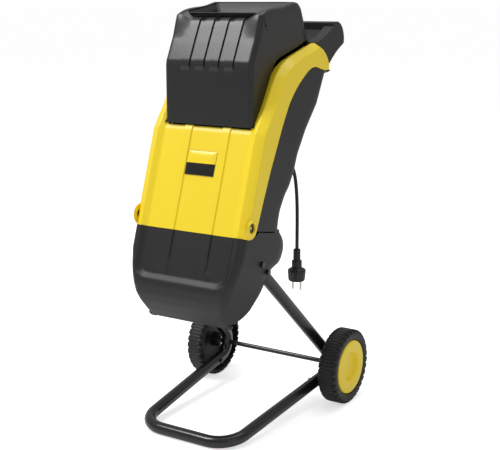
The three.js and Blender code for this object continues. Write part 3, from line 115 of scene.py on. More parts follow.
def soft_line(stops, count, blur=0.0):
    """A line through the stops, evenly sampled, its corners rounded by a running average.

    The average's window is blur millimetres wide; the line is carried straight on past its ends
    while averaging, so both ends stay where they are.
    """
    stops = np.asarray(stops, float)
    along = np.r_[0, np.cumsum(np.linalg.norm(np.diff(stops, axis=0), axis=1))]
    fine = np.linspace(0, along[-1], 1600)
    line = np.stack([np.interp(fine, along, c) for c in stops.T], -1)
    reach = int(round(blur / along[-1] * 1600 / 2))
    if reach:
        before = 2 * line[0] - line[reach:0:-1]
        after = 2 * line[-1] - line[-2 : -reach - 2 : -1]
        window = np.hanning(2 * reach + 3)[1:-1]
        window /= window.sum()
        padded = np.concatenate([before, line, after])
        line = np.stack([np.convolve(c, window, "valid") for c in padded.T], -1)
    pick = np.linspace(0, len(line) - 1, count)
    index = np.arange(len(line))
    return np.stack([np.interp(pick, index, c) for c in line.T], -1)


def paired_lines(pairs, count, blur):
    """Two lines that run side by side: each stop is a point of the first and one of the second."""
    pairs = np.asarray(pairs, float).reshape(len(pairs), -1)
    both = soft_line(pairs, count, blur)
    return both[:, :2], both[:, 2:]


def outward(line, side=-1):
    """Unit normals of a line in its plane: its direction turned a quarter turn."""
    d = np.gradient(line, axis=0)
    d /= np.linalg.norm(d, axis=1, keepdims=True)
    return np.stack([side * d[:, 1], -side * d[:, 0]], -1)


def grid_faces(rows, columns, loop_rows=False, loop_columns=False, keep=None):
    """Quads between neighbouring grid points, all wound the same way, less those not kept."""
    r = np.arange(rows if loop_rows else rows - 1)
    c = np.arange(columns if loop_columns else columns - 1)
    i, k = np.meshgrid(r, c, indexing="ij")
    i2, k2 = (i + 1) % rows, (k + 1) % columns
    quads = np.stack([i * columns + k, i * columns + k2, i2 * columns + k2, i2 * columns + k], -1)
    quads = quads.reshape(-1, 4)
    return quads if keep is None else quads[keep[: len(r), : len(c)].ravel()]


def new_piece(name, points, faces, material, body, stands_for=(), sharp=40, caps=()):
    """Makes a mesh of a grid of points and its quads, closes it with caps and rides it on a body."""
    points = np.asarray(points, float).reshape(-1, 3)
    mesh = bpy.data.meshes.new(name)
    used, faces_used = np.unique(faces, return_inverse=True)
    lists = faces_used.reshape(faces.shape).tolist()
    where = {int(u): i for i, u in enumerate(used)} if len(caps) else {}
    lists += [[where[int(i)] for i in cap] for cap in caps]
    mesh.from_pydata(points[used].tolist(), [], lists)
    return dress(bpy.data.objects.new(name, mesh), material, body, stands_for, sharp)


def dress(obj, material, body, stands_for=(), sharp=40):
    """Links a piece, smooths its faces up to an angle, gives it its material and its body."""
    bpy.context.scene.collection.objects.link(obj)
    obj.data.materials.clear()
    obj.data.materials.append(material)
    obj.data.polygons.foreach_set("use_smooth", [True] * len(obj.data.polygons))
    obj.data.set_sharp_from_angle(angle=math.radians(sharp))
    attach(obj, body)
    if stands_for:
        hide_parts(*([stands_for] if isinstance(stands_for, str) else stands_for))
    return obj


def modifier(obj, kind, **settings):
    """Adds a modifier of a kind to a piece and gives it its settings."""
    made = obj.modifiers.new(kind.title(), kind)
    for key, value in settings.items():
        setattr(made, key, value)
    return made


def walled(obj, thickness, bevel=0.0005):
    """Gives a skin its wall, inwards, and eases the wall's edges; both in metres."""
    modifier(obj, "SOLIDIFY", thickness=thickness, offset=-1, use_even_offset=False)
    modifier(obj, "BEVEL", width=bevel, segments=2, limit_method="ANGLE",
             angle_limit=math.radians(50), harden_normals=True)


def eased_copy(node_name, material, body, width):
    """A copy of a frame solid, its loose triangles merged and its edges eased by width."""
    source = frame["nodes"][node_name]
    mesh = source.data.copy()
    co = np.zeros(len(mesh.vertices) * 3)
    mesh.vertices.foreach_get("co", co)
    co = np.round(co.reshape(-1, 3), 6)
    tri = np.zeros(len(mesh.polygons) * 3, int)
    mesh.polygons.foreach_get("vertices", tri)
    points, index = np.unique(co, axis=0, return_inverse=True)
    tri = index.ravel()[tri].reshape(-1, 3)
    tri = tri[(tri[:, 0] != tri[:, 1]) & (tri[:, 1] != tri[:, 2]) & (tri[:, 0] != tri[:, 2])]
    made = bpy.data.meshes.new(node_name + "_eased")
    made.from_pydata(points.tolist(), [], tri.tolist())
    obj = dress(bpy.data.objects.new(made.name, made), material, body, node_name, 32)
    modifier(obj, "BEVEL", width=width / 1000, segments=2, limit_method="ANGLE",
             angle_limit=math.radians(32), harden_normals=True)


def turned(profile, centre, axis="x", sides=64, mirror=1, radius_at=None):
    """A profile of (radius, place) turned round an axis: grid of rows by angle.

    A point is centre + place along the axis + radius times (cos a, sin a) across it; radius_at
    may change the radius with the angle and the profile's row.
    """
    profile = np.asarray(profile, float)
    a = np.linspace(0, 2 * np.pi, sides, endpoint=False)
    r = np.repeat(profile[:, :1], sides, 1)
    if radius_at is not None:
        r = radius_at(r, profile[:, 1:2], a)
    along = np.repeat(profile[:, 1:2] * mirror, sides, 1)
    b, c = r * np.cos(a), r * np.sin(a)
    order = {"x": (along, b, c), "y": (c, along, b), "z": (b, c, along)}[axis]
    return np.stack(order, -1) + np.asarray(centre, float)


def rounded(profile, radius, steps=4):
    """A profile whose corners are cut back by radius and rounded by a quadratic curve."""
    p = np.asarray(profile, float)
    out = [p[0]]
    for a, b, c in zip(p[:-2], p[1:-1], p[2:]):
        la, lc = np.linalg.norm(a - b), np.linalg.norm(c - b)
        f = b + (a - b) * min(0.45, radius / la)
        g = b + (c - b) * min(0.45, radius / lc)
        k = np.linspace(0, 1, steps)[:, None]
        out += list((1 - k) ** 2 * f + 2 * k * (1 - k) * b + k**2 * g)
    return np.array(out + [p[-1]])


def swept(path, radius, sides=24):
    """A round bar along a path: a circle across the path's direction at each of its points.

    The circle's first arm is carried from point to point, less its part along the path, so that
    the surface doesn't twist.
    """
    d = np.gradient(path, axis=0)
    d /= np.linalg.norm(d, axis=1, keepdims=True)
    arm = np.cross(d[0], [0.0, 0.0, 1.0])
    arms = []
    for direction in d:
        arm = arm - direction * (arm @ direction)
        arm /= np.linalg.norm(arm)
        arms.append(arm)
    arms = np.array(arms)
    other = np.cross(d, arms)
    a = np.linspace(0, 2 * np.pi, sides, endpoint=False)[None, :, None]
    r = np.broadcast_to(np.asarray(radius, float).reshape(-1, 1, 1), (len(path), 1, 1))
    return path[:, None] + r * (np.cos(a) * arms[:, None] + np.sin(a) * other[:, None])


def bent(corners, bends, steps=12):
    """Straight runs between corners with a true arc of the given radius at each inner corner."""
    corners = [np.asarray(c, float) for c in corners]
    out = [corners[0]]
    for a, b, c, radius in zip(corners, corners[1:], corners[2:], bends):
        u, w = a - b, c - b
        u, w = u / np.linalg.norm(u), w / np.linalg.norm(w)
        half = math.acos(np.clip(u @ w, -1, 1)) / 2
        centre = b + (u + w) / np.linalg.norm(u + w) * radius / math.sin(half)
        e = b + u * radius / math.tan(half) - centre
        f = b + w * radius / math.tan(half) - centre
        turn = math.pi - 2 * half
        k = np.linspace(0, 1, steps)[:, None]
        out += list(centre + (np.sin((1 - k) * turn) * e + np.sin(k * turn) * f) / math.sin(turn))
    return np.array(out + [corners[-1]])


def straightened(path, gap=25.0):
    """The same path with points added along its long straight runs."""
    out = [path[0]]
    for a, b in zip(path, path[1:]):
        n = max(1, int(np.linalg.norm(b - a) // gap))
        out += [a + (b - a) * k / n for k in range(1, n + 1)]
    return np.array(out)


def closed_tube(name, grid, material, body, stands_for=(), sharp=50):
    """A piece of rings, capped flat at both ends."""
    rows, sides = grid.shape[:2]
    caps = [list(range(sides))[::-1], [(rows - 1) * sides + k for k in range(sides)]]
    faces = grid_faces(rows, sides, loop_columns=True)
    return new_piece(name, grid, faces, material, body, stands_for, sharp, caps)


# ---------------------------------------------------------------- materials


def linear(colour):
    """An sRGB hex value, or three sRGB numbers, as the linear colour a shader takes."""
    if isinstance(colour, str):
        colour = [int(colour[i : i + 2], 16) / 255 for i in (1, 3, 5)]
    c = np.array(colour[:3], float)
    low, high = c / 12.92, ((c + 0.055) / 1.055) ** 2.4
    return (*np.where(c <= 0.04045, low, high).tolist(), 1.0)


def node(tree, kind, settings=None, links=None, **inputs):
    """Adds a node, sets its properties and sockets, and links sockets to other nodes' outputs."""
    made = tree.nodes.new(kind)
    for key, value in (settings or {}).items():
        setattr(made, key, value)
    for key, value in inputs.items():
        made.inputs[key.replace("_", " ")].default_value = value
    for key, source in (links or {}).items():
        tree.links.new(source, made.inputs[key])
    return made


def moulded(name, colour, roughness, grain_mm, grain_depth, spread=0.04, coat=0.0, mottle=0.04):
    """A moulded or sprayed surface: grain of a real size, and slow drifts of tone and gloss."""
    material = bpy.data.materials.new(name)
    material.use_nodes = True
    tree = material.node_tree
    tree.nodes.clear()
    place = node(tree, "ShaderNodeTexCoord").outputs["Object"]
    slow = node(tree, "ShaderNodeTexNoise", links={"Vector": place}, Scale=9.0, Detail=3.0)
    fine = node(tree, "ShaderNodeTexNoise", links={"Vector": place}, Scale=1000 / grain_mm,
                Detail=1.0)
    dark = tuple(v * (1 - mottle) for v in colour[:3]) + (1,)
    light = tuple(min(1, v * (1 + mottle)) for v in colour[:3]) + (1,)
    tone = node(tree, "ShaderNodeMix", {"data_type": "RGBA"}, {"Factor": slow.outputs["Fac"]})
    tone.inputs[6].default_value, tone.inputs[7].default_value = dark, light
    gloss = node(tree, "ShaderNodeMapRange", None, {"Value": slow.outputs["Fac"]})
    gloss.inputs["To Min"].default_value = roughness - spread
    gloss.inputs["To Max"].default_value = roughness + spread
    bump = node(tree, "ShaderNodeBump", None, {"Height": fine.outputs["Fac"]},
                Strength=grain_depth, Distance=0.0002)
    shader = node(
        tree, "ShaderNodeBsdfPrincipled", None,
        {"Base Color": tone.outputs[2], "Roughness": gloss.outputs["Result"],
         "Normal": bump.outputs["Normal"]},
        IOR=1.49, Coat_Weight=coat,
    )
    shader.inputs["Coat Roughness"].default_value = 0.12
    node(tree, "ShaderNodeOutputMaterial", None, {"Surface": shader.outputs["BSDF"]})
    return material


def metal(name, colour, roughness, streak=(1, 1, 1), wear=0.08):
    """Bare metal: streaks of roughness along one direction, a faint bump from the same lines."""
    material = bpy.data.materials.new(name)
    material.use_nodes = True
    tree = material.node_tree
    tree.nodes.clear()
    place = node(tree, "ShaderNodeTexCoord").outputs["Object"]
    lines = node(tree, "ShaderNodeMapping", None, {"Vector": place}, Scale=streak)
    noise = node(tree, "ShaderNodeTexNoise", None, {"Vector": lines.outputs["Vector"]},
                 Scale=600.0, Detail=2.0)
    gloss = node(tree, "ShaderNodeMapRange", None, {"Value": noise.outputs["Fac"]})
    gloss.inputs["To Min"].default_value = roughness - wear
    gloss.inputs["To Max"].default_value = roughness + wear
    bump = node(tree, "ShaderNodeBump", None, {"Height": noise.outputs["Fac"]},
                Strength=0.15, Distance=0.0001)
    shader = node(
        tree, "ShaderNodeBsdfPrincipled", None,
        {"Roughness": gloss.outputs["Result"], "Normal": bump.outputs["Normal"]},
        Base_Color=colour, Metallic=1.0,
    )
    node(tree, "ShaderNodeOutputMaterial", None, {"Surface": shader.outputs["BSDF"]})
    return material


def badge_film(name, upper, lower, edge):
    """Printed film: an upper and a lower field inside a thin line, split by the piece's own map."""
    material = bpy.data.materials.new(name)
    material.use_nodes = True
    tree = material.node_tree
    tree.nodes.clear()
    uv = node(tree, "ShaderNodeUVMap", {"uv_map": "film"}).outputs["UV"]
    axes = node(tree, "ShaderNodeSeparateXYZ", None, {"Vector": uv})
    above = node(tree, "ShaderNodeMath", {"operation": "GREATER_THAN"}, {0: axes.outputs["Y"]})
    above.inputs[1].default_value = 0.5
    fields = node(tree, "ShaderNodeMix", {"data_type": "RGBA"}, {"Factor": above.outputs[0]})
    fields.inputs[6].default_value, fields.inputs[7].default_value = lower, upper
    off = []
    for axis, margin in (("X", 0.492), ("Y", 0.487)):
        shift = node(tree, "ShaderNodeMath", {"operation": "SUBTRACT"}, {0: axes.outputs[axis]})
        shift.inputs[1].default_value = 0.5
        far = node(tree, "ShaderNodeMath", {"operation": "ABSOLUTE"}, {0: shift.outputs[0]})
        out = node(tree, "ShaderNodeMath", {"operation": "GREATER_THAN"}, {0: far.outputs[0]})
        out.inputs[1].default_value = margin
        off.append(out.outputs[0])
    rim = node(tree, "ShaderNodeMath", {"operation": "MAXIMUM"}, {0: off[0], 1: off[1]})
    both = node(tree, "ShaderNodeMix", {"data_type": "RGBA"},
                {"Factor": rim.outputs[0], 6: fields.outputs[2]})
    both.inputs[7].default_value = edge
    shader = node(tree, "ShaderNodeBsdfPrincipled", None, {"Base Color": both.outputs[2]},
                  Roughness=0.28, IOR=1.5)
    node(tree, "ShaderNodeOutputMaterial", None, {"Surface": shader.outputs["BSDF"]})
    return material


_made = {}


def finish_of(key):
    """The named material, made the first time it is asked for, from the colours in the panel."""
    if key in _made:
        return _made[key]
    c = bpy.context.scene.shredder_colours
    makers = {
        # Moulded ABS, lightly sparked tool: clean strong colour with a broad soft highlight.
        "yellow": lambda: moulded("ABS moulded yellow", (*c.casing, 1), 0.36, 0.9, 0.12, 0.04,
                                  mottle=0.015),
        # Polypropylene with a fine leathered tool texture: dull, slightly grey where it is lit.
        "black": lambda: moulded("Polypropylene moulded black", (*c.housing, 1), 0.47, 1.0, 0.35,
                                 0.05),
        # The same plastic from a smoother tool: a broad sheen where it faces the light.
        "hood": lambda: moulded("Polypropylene satin black", (*c.housing, 1), 0.36, 0.9, 0.25,
                                0.05, coat=0.12),
        # Powder coat baked on steel tube: deep black, glossy, a trace of orange peel.
        "paint": lambda: moulded("Powder coat gloss black", (*c.tube, 1), 0.26, 2.2, 0.12, 0.03,
                                 coat=0.3),
        # Hard moulded polyethylene of the wheels: darker and waxier than the housing.
        "wheel": lambda: moulded("Polyethylene moulded wheel black", (*c.wheel, 1), 0.5, 1.2, 0.3,
                                 0.06),
        # Soft PVC of lead, plug and gland.
        "pvc": lambda: moulded("PVC extruded black", (*c.lead, 1), 0.42, 0.8, 0.1, 0.04),
        "red": lambda: moulded("ABS moulded red", linear("#b3231b"), 0.34, 0.9, 0.1),
        "zinc": lambda: metal("Steel zinc plated", linear("#b9bcc0"), 0.33),
        "ground": lambda: metal("Steel ground", linear("#a9acaf"), 0.3, (1, 12, 1)),
        "cast": lambda: metal("Aluminium die cast", linear("#9fa2a6"), 0.5),
        "copper": lambda: metal("Copper wound", linear("#b8713d"), 0.35, (1, 1, 14)),
        "nickel": lambda: metal("Brass nickel plated", linear("#c9c7c1"), 0.22),
        "film": lambda: badge_film("Polyester film printed", (*c.casing, 1), linear("#101010"),
                                   linear("#8f8a4a")),
    }
    _made[key] = makers[key]()
    return _made[key]


# ---------------------------------------------------------------- casings

# Side outline of the yellow casing's ridge, stop by stop with the seam beside it, as (t, s).
FRONT_PAIRS = [
    [(-7, 187.5), (8, 187.5)],
    [(-7, 189), (17, 189.4)],
    [(-7, 194), (24, 194)],
    [(-7, 201), (29, 201.5)],
    [(-7, 211), (30.5, 211)],
    [(-7, 268), (36, 268)],
    [(-7, 330), (43, 327)],
    [(-7, 384), (52, 380)],
    [(2, 414), (57, 412)],
    [(10, 436), (62.5, 436)],
    [(15.5, 457), (69, 462)],
    [(21.5, 483), (78, 482)],
    [(30, 507), (91, 505)],
    [(42, 529), (104, 522)],
    [(61, 548), (117, 538)],
    [(88, 567), (130, 549)],
    [(120, 588), (144, 555)],
    [(138, 601), (154, 556.5)],
    [(150, 606), (164, 557.3)],
    [(165, 605.5), (176, 558.4)],
    [(184, 599), (188, 560)],
    [(203, 585), (199.5, 566)],
]
HOOD_FOOT_S = 393.6
STRIPS = (34.5, 53.5)
STRIP_WALL = (0.5, 0.7)  # how far a strip's wall reaches outside and inside its edge
FLANK_START = 12.2  # depth behind the crest where the flank begins
BOSS_SIDES = 48


def ridge_depth(x):
    """How far the front lies behind the ridge's crest at a place across it."""
    across = np.abs(x)
    stops = np.array([0, 99, 112.5, 126, 130])
    depth = np.array([RIDGE, RIDGE, 0, 7.6, 11])
    fine = np.linspace(0, 136, 1361)
    base = np.interp(fine, stops, depth, right=11)
    window = np.hanning(73)[1:-1]
    padded = np.concatenate([base[35:0:-1], base, np.full(35, base[-1])])
    soft = np.convolve(padded, window / window.sum(), "valid")
    return np.interp(across, fine, soft)


def strip_height(x, rise):
    """The two raised strips, in metres of rise: full height between nearly upright walls."""
    across = np.abs(x)
    out, into = STRIP_WALL
    return 1000 * rise * (smoothstep(across, STRIPS[0] - out, STRIPS[0] + into)
                          - smoothstep(across, STRIPS[1] - into, STRIPS[1] + out))


def front_columns(edge=HALF - 0.6):
    """Places across the front: close together at the strips' walls and over the ridges."""
    out, into = STRIP_WALL
    half = np.r_[0, 12, 24, 33, STRIPS[0] + np.array([-out, 0, into]), 38, 44, 50,
                 STRIPS[1] + np.array([-into, 0, out]), 56, 66, 78, 88,
                 np.linspace(93, edge, 26)]
    return np.r_[-half[:0:-1], half]


def front_casing(sizes):
    """The ridge outline carried across: each row goes from seam to flank to ridge to face.

    On the face a point is the outline less its normal times the ridge depth, plus the strips; on
    the flank it runs straight from the ridge's outer edge to the seam.
    """
    outline, seam = paired_lines(FRONT_PAIRS, 150, 13)
    normal = outward(outline)
    x = front_columns()
    depth = ridge_depth(x) - strip_height(x, sizes.strip_rise)
    face = outline[:, None] - normal[:, None] * depth[None, :, None]
    face = np.concatenate([np.broadcast_to(x, face.shape[:2])[..., None], face], -1)
    edge = outline - normal * FLANK_START
    k = np.linspace(0, 1, 9)[None, :, None]
    flank = edge[:, None] * (1 - k) + seam[:, None] * k
    sides = []
    for side in (-1, 1):
        across = np.full(flank.shape[:2] + (1,), side * HALF)
        wall = np.concatenate([across, flank], -1)
        sides.append(wall[:, ::-1] if side < 0 else wall)
    grid = np.concatenate([sides[0], face, sides[1]], 1)
    rows, columns = grid.shape[:2]
    middle = (grid[:-1, :-1] + grid[1:, 1:]) / 2
    hidden = (np.abs(middle[..., 0]) < 96) & (outline[:-1, 1] > HOOD_FOOT_S)[:, None]
    faces = grid_faces(rows, columns, keep=~hidden)
    obj = new_piece("front_casing", leaning(grid), faces, finish_of("yellow"),
                    "upper_body", "front_shell", 28)
    walled(obj, sizes.wall)
    for name, side in SIDES:
        pivot_boss(name, side)


def pivot_boss(name, side):
    """Turned boss with a flared skirt round the pivot, and a dark plug sunk in its recess."""
    skirt = [(14.2 + 6.5 * (1 - k) ** 2.2, 128.6 + 4.6 * k) for k in np.linspace(0, 1, 7)]
    profile = rounded([(9.5, 128.6), (9.9, 134), (13.8, 134)] + skirt[::-1], 0.8, 4)
    ring = turned(profile, (0, *PIVOT), "x", BOSS_SIDES, side)
    faces = grid_faces(len(profile), BOSS_SIDES, loop_rows=True, loop_columns=True)
    new_piece(f"{name}_pivot_boss", leaning(ring), faces[:, ::-side], finish_of("yellow"),
              "upper_body", (), 50)
    profile = rounded([(9.6, 129.6), (9.6, 130.5), (6.4, 130.7), (5.6, 129.2), (0.02, 129.2)], 0.5)
    ring = turned(profile, (0, *PIVOT), "x", BOSS_SIDES, side)
    n = len(profile)
    first = list(range(BOSS_SIDES))
    caps = [first[::-side], [(n - 1) * BOSS_SIDES + k for k in first][::side]]
    faces = grid_faces(n, BOSS_SIDES, loop_columns=True)
    new_piece(f"{name}_pivot_plug", leaning(ring), faces[:, ::side], finish_of("pvc"),
              "upper_body", (), 40, caps)


REAR_LINE = [
    (131, 216), (131, 221), (128, 240), (127.5, 262), (136, 292), (147, 312), (155, 344),
    (157.5, 378), (165, 404), (173, 432), (186, 462), (198.5, 490), (205, 530), (210, 560),
    (210.4, 566),
]
SEAM_LINE = [
    (30.9, 204), (31.5, 211), (36.5, 268), (43.5, 327), (52.5, 380), (57.5, 412), (63, 436),
    (69.5, 462), (78.5, 482), (91.5, 505), (104.5, 521.5), (117.5, 537.5), (141, 554.4),
    (193, 559.3), (208, 566),
]
HUMP_LINE = [(143, 216), (143.5, 224), (147, 236), (149, 320), (158, 352), (158, 570)]
VENTS = [(248 + 12 * k, 253.5 + 12 * k) for k in range(6)]
BACK_SPAN = (207.0, 566.0)  # the back casing's lowest and highest level
SPLIT_RISE = 14.0  # how much higher than its front the split line ends
# The shelf at the foot of the back casing: its corner, rear edge, underside and top.
SHELF_CORNER = 88.0
SHELF_REAR = 182.0
SHELF = (220.1, 224.0)
LOCK_TAB = (220.7, 225.1)
# The lip under the shelf: its underside and top, its clearance to the rim and its wall.
LIP = (216.5, 220.0)
LIP_GAP = 3.2
LIP_WALL = 2.4


def at_height(line, s):
    """The t of a line at heights s."""
    line = np.asarray(line, float)
    return np.interp(s, line[:, 1], line[:, 0])


def back_casing(sizes):
    """Level by level: flank from the seam back, a rounded corner, and the rear wall with its hump.

    A level's corner is a quarter circle; the hump adds to t where the motor stands behind the
    wall, fading sideways; the levels tilt so that the lowest one lies on the split line.
    """
    rear_line = soft_line(REAR_LINE, 200, 16)
    seam_line = soft_line(SEAM_LINE, 300, 9)
    levels = np.unique(np.r_[np.linspace(*BACK_SPAN, 84), np.ravel(VENTS)])
    share = (levels - BACK_SPAN[0]) / (BACK_SPAN[1] - BACK_SPAN[0])
    tilt = SPLIT_RISE * (1 - share) ** 3
    rear = at_height(rear_line, levels + tilt)
    seam = at_height(seam_line, levels) + SEAM
    depth = np.maximum(rear - seam, 0.5)
    radius = np.minimum(30, 0.92 * depth)
    a = np.linspace(0, np.pi / 2, 12)[None]
    flank = seam[:, None] + (rear - radius - seam)[:, None] * np.linspace(0, 1, 8)[None, :-1]
    corner_x = BACK_HALF - radius[:, None] * (1 - np.cos(a))
    corner_t = (rear - radius)[:, None] + radius[:, None] * np.sin(a)
    inner = np.r_[92, 84, 76, 68, 62, np.arange(58, 38, -2), 38, 30, 20, 10, 5, 0]
    wall_x = np.minimum(inner[None], corner_x[:, -1:] - 0.01 * np.arange(len(inner))[None])
    hump = np.maximum(at_height(soft_line(HUMP_LINE, 200, 10), levels + tilt) - rear, 0)
    swell = hump[:, None] * (1 - smoothstep(np.abs(wall_x), 41, 56))
    half_x = np.concatenate([np.full(flank.shape, BACK_HALF), corner_x, wall_x], 1)
    half_t = np.concatenate([flank, corner_t, rear[:, None] + swell], 1)
    x = np.concatenate([half_x, -half_x[:, -2::-1]], 1)
    t = np.concatenate([half_t, half_t[:, -2::-1]], 1)
    s = levels[:, None] + tilt[:, None] * np.clip((t - 31) / 100, 0, 1.06)
    grid = np.stack([x, t, s], -1)
    mid_x = np.abs((x[:-1, :-1] + x[1:, 1:]) / 2)
    low = np.array([[any(v[0] - 0.01 <= p < v[1] - 0.01 for v in VENTS)] for p in levels[:-1]])
    slot = low & (mid_x > 10) & (mid_x < 38)
    faces = grid_faces(*x.shape, keep=~slot)
    obj = new_piece("back_casing", leaning(grid), faces, finish_of("black"), "upper_body",
                    "back_shell", 28)
    walled(obj, sizes.wall)
    back_shelf()


def corner_arc(radius, start=0.0):
    """A quarter circle round the shelf's rear corner, from the flank to the rear edge."""
    a = np.linspace(start, np.pi / 2, 24)
    x = BACK_HALF - SHELF_CORNER + radius * np.cos(a)
    t = SHELF_REAR - SHELF_CORNER + radius * np.sin(a)
    return np.stack([x, t], -1)


def both_sides(arc):
    """An arc on the right carried on by its mirror image, from one flank to the other."""
    return np.concatenate([arc, arc[::-1] * [-1, 1]])


def back_shelf():
    """The shelf that closes the back casing's foot, its lock tab, and the lip under its edge."""
    corner = corner_arc(SHELF_CORNER)
    rim = both_sides(corner[corner[:, 1] > 112])
    hollow = np.array([(-118, 112), (-112, 126), (0, 128), (112, 126), (118, 112)])
    plate("back_shelf", np.concatenate([rim, hollow]), *SHELF)
    tab = np.array([(22, 140), (22, 196), (16, 202), (-16, 202), (-22, 196), (-22, 140)])
    plate("lock_tab", tab, *LOCK_TAB)
    outside = both_sides(corner_arc(SHELF_CORNER - LIP_GAP, 0.1))
    inside = both_sides(corner_arc(SHELF_CORNER - LIP_GAP - LIP_WALL, 0.1))
    plate("back_lip", np.concatenate([outside, inside[::-1]]), *LIP)


def plate(name, outline, low, high, body="upper_body"):
    """A flat plate: an outline carried from one height to another, closed above and below."""
    n = len(outline)
    rings = [np.concatenate([outline, np.full((n, 1), s)], 1) for s in (low, high)]
    caps = [list(range(n))[::-1], list(range(n, 2 * n))]
    obj = new_piece(name, leaning(np.array(rings)), grid_faces(2, n, loop_columns=True),
                    finish_of("black"), body, (), 35, caps)
    modifier(obj, "BEVEL", width=0.0008, segments=2, limit_method="ANGLE",
             angle_limit=math.radians(50))


# Lower housing, level by level: height, how far forward and back, half width, rear corner.
HOUSING_LEVELS = np.array([
    [4, 66, 48, 89, 12], [18, 53, 62, 93, 18], [30, 33, 84, 97, 26], [44, 14, 106, 102, 32],
    [58, 2, 119, 107, 36], [76, -4.5, 129, 112, 42], [94, -6.5, 136, 117.5, 46],
    [112, -7, 140, 122, 50], [130, -7, 144, 125, 54], [142, -7, 150, 127.5, 57],
    [152, -7, 165, 127.5, 60], [162, -7, 180.5, 127.5, 60], [174, -7, 186, 127.5, 60],
    [188, -7, 188.5, 127.5, 60], [200, -7, 184, 127.5, 58], [211, -7, 184, 127.5, 70],
    [220, -7, 182, 127.5, 88], [232, -7, 180, 127.5, 95],
], float)
LEDGE = (88.0, 105.0)
# The split line along the flank, as (t, s), and the heights where the housing starts and ends.
SPLIT_LINE = np.array([(5, 187), (8, 187.2), (16, 188.6), (24, 193.8), (29.5, 201.5),
                       (30.8, 206.2), (131, 219.8), (164, 219.2), (200, 219)])
FOOT_FRONT = 18.3
FOOT_REAR = 29.3
TOP_FRONT = 187.0
TOP_REAR = 219.3
FRONT_ROUND = 13.5  # how far in from the flank the front starts to turn back


def housing_recess(x, s):
    """1 in the sunk front panel and 0 outside: a rounded window with sloping sides and ledge."""
    corner = 26
    across = np.abs(x) - (106 - corner)
    down = (LEDGE[0] + corner) - s
    outside = np.hypot(np.maximum(across, 0), np.maximum(down, 0))
    inside = np.minimum(np.maximum(across, down), 0)
    distance = outside + inside - corner
    slope = np.where(down > across, LEDGE[1] - LEDGE[0], 12.0)
    return smoothstep(-distance, -4, slope - 4)


def lower_housing(sizes):
    """Levels between the cut-off foot and the split line, each a plan outline with round corners.

    Front, rear, half width and corner radius vary smoothly with the height; the front is pushed
    in by the recess and carries the two strips on; the foot row turns in to the chip opening.
    """
    fine = soft_line(HOUSING_LEVELS, 500, 20)
    x_front = front_columns(HALF - 16)
    corner_k = np.linspace(0, 1, 10)[1:]
    flank_k = np.linspace(0, 1, 13)[1:-1]
    round_a = np.linspace(0, np.pi / 2, 14)
    rear_k = np.linspace(0, 1, 12)[1:]
    v = np.linspace(0, 1, 96) ** 0.92

    def column_heights(foot, top):
        return foot + (top - foot) * v

    def level(s):
        return [np.interp(s, fine[:, 0], fine[:, i]) for i in range(1, 5)]

    columns = []
    for x0 in x_front[x_front >= 0]:
        s = column_heights(FOOT_FRONT, TOP_FRONT)
        front, _, half, _ = level(s)
        x = x0 / (HALF - 16) * (half - FRONT_ROUND)
        sunk = housing_recess(x, s) * np.maximum(0, 1 - np.maximum(front + 7, 0) / 6)
        t = front + RIDGE * sunk - strip_height(x, sizes.strip_rise) * smoothstep(s, 100, 103)
        columns.append((x, t, s))
    for k in corner_k:
        s = column_heights(FOOT_FRONT, TOP_FRONT)
        front, _, half, _ = level(s)
        columns.append((half - FRONT_ROUND * (1 - k) ** 1.35, front + 12 * k**1.8, s))
    for k in flank_k:
        t_top = 5 + (97 - 5) * k
        foot_s = FOOT_FRONT + (FOOT_REAR - FOOT_FRONT) * k
        s = column_heights(foot_s, np.interp(t_top, SPLIT_LINE[:, 0], SPLIT_LINE[:, 1]))
        front, rear, half, corner = level(s)
        start, end = front + 12, rear - corner
        columns.append((half, start + (end - start) * k, s))
    for a in round_a:
        s = column_heights(FOOT_REAR, TOP_REAR)
        _, rear, half, corner = level(s)
        columns.append((half - corner * (1 - np.cos(a)), rear - corner * (1 - np.sin(a)), s))
    for k in rear_k:
        s = column_heights(FOOT_REAR, TOP_REAR)
        _, rear, half, corner = level(s)
        columns.append(((half - corner) * (1 - k), rear, s))
    right = np.stack([np.stack(c, -1) for c in columns], 1)
    left = right[:, 1:-1][:, ::-1] * np.array([-1, 1, 1])
    grid = np.concatenate([right, left], 1)
    world = leaning(grid)
    foot = world[0].copy()
    foot[:, 0] = np.clip(foot[:, 0], -0.084, 0.084)
    foot[:, 1] = np.clip(foot[:, 1], AXLE_Y - 0.321, AXLE_Y - 0.266)
    world = np.concatenate([foot[None], world])
    faces = grid_faces(*world.shape[:2], loop_columns=True)
    obj = new_piece("lower_casing", world, faces, finish_of("black"), "base", "lower_housing",
                    28)
    walled(obj, sizes.wall)
    lug = np.array([(11, 185), (11, 197), (-11, 197), (-11, 185)])
    plate("lock_lug", lug, 199, 219, "base")


# ---------------------------------------------------------------- hopper

# The hood's top outline with its lower side edge beside it, upright (y, z).
HOOD_PAIRS = [
    [(-261, 611), (-260, 611)],
    [(-261, 624), (-250, 617)],
    [(-261, 660), (-236, 630)],
    [(-261, 700), (-222, 653)],
    [(-261, 722), (-209, 676)],
    [(-259, 732), (-200, 692)],
    [(-243, 765), (-190, 710)],
    [(-227, 797), (-178, 726)],
    [(-222, 806), (-170, 732)],
    [(-205, 812.5), (-156, 738)],
    [(-160, 825), (-136, 743)],
    [(-112, 838.5), (-112, 749.5)],
    [(-98, 841.5), (-100, 752.5)],
    [(-84, 840), (-86, 756.5)],
    [(-73, 830), (-74, 760.5)],
    [(-62, 806), (-61, 765.5)],
    [(-50.5, 769.5), (-51.5, 768.6)],
]
HOOD_HALF = 100.0
MOUTH_HALF = 83.0
MOUTH = (-205.0, -99.0)
HOOD_STRIPS = [(i - 1.5) * 33.2 for i in range(4)]
HOOD_STRIP_HALF = 10.1
HOOD_STRIP_RISE = 3.0
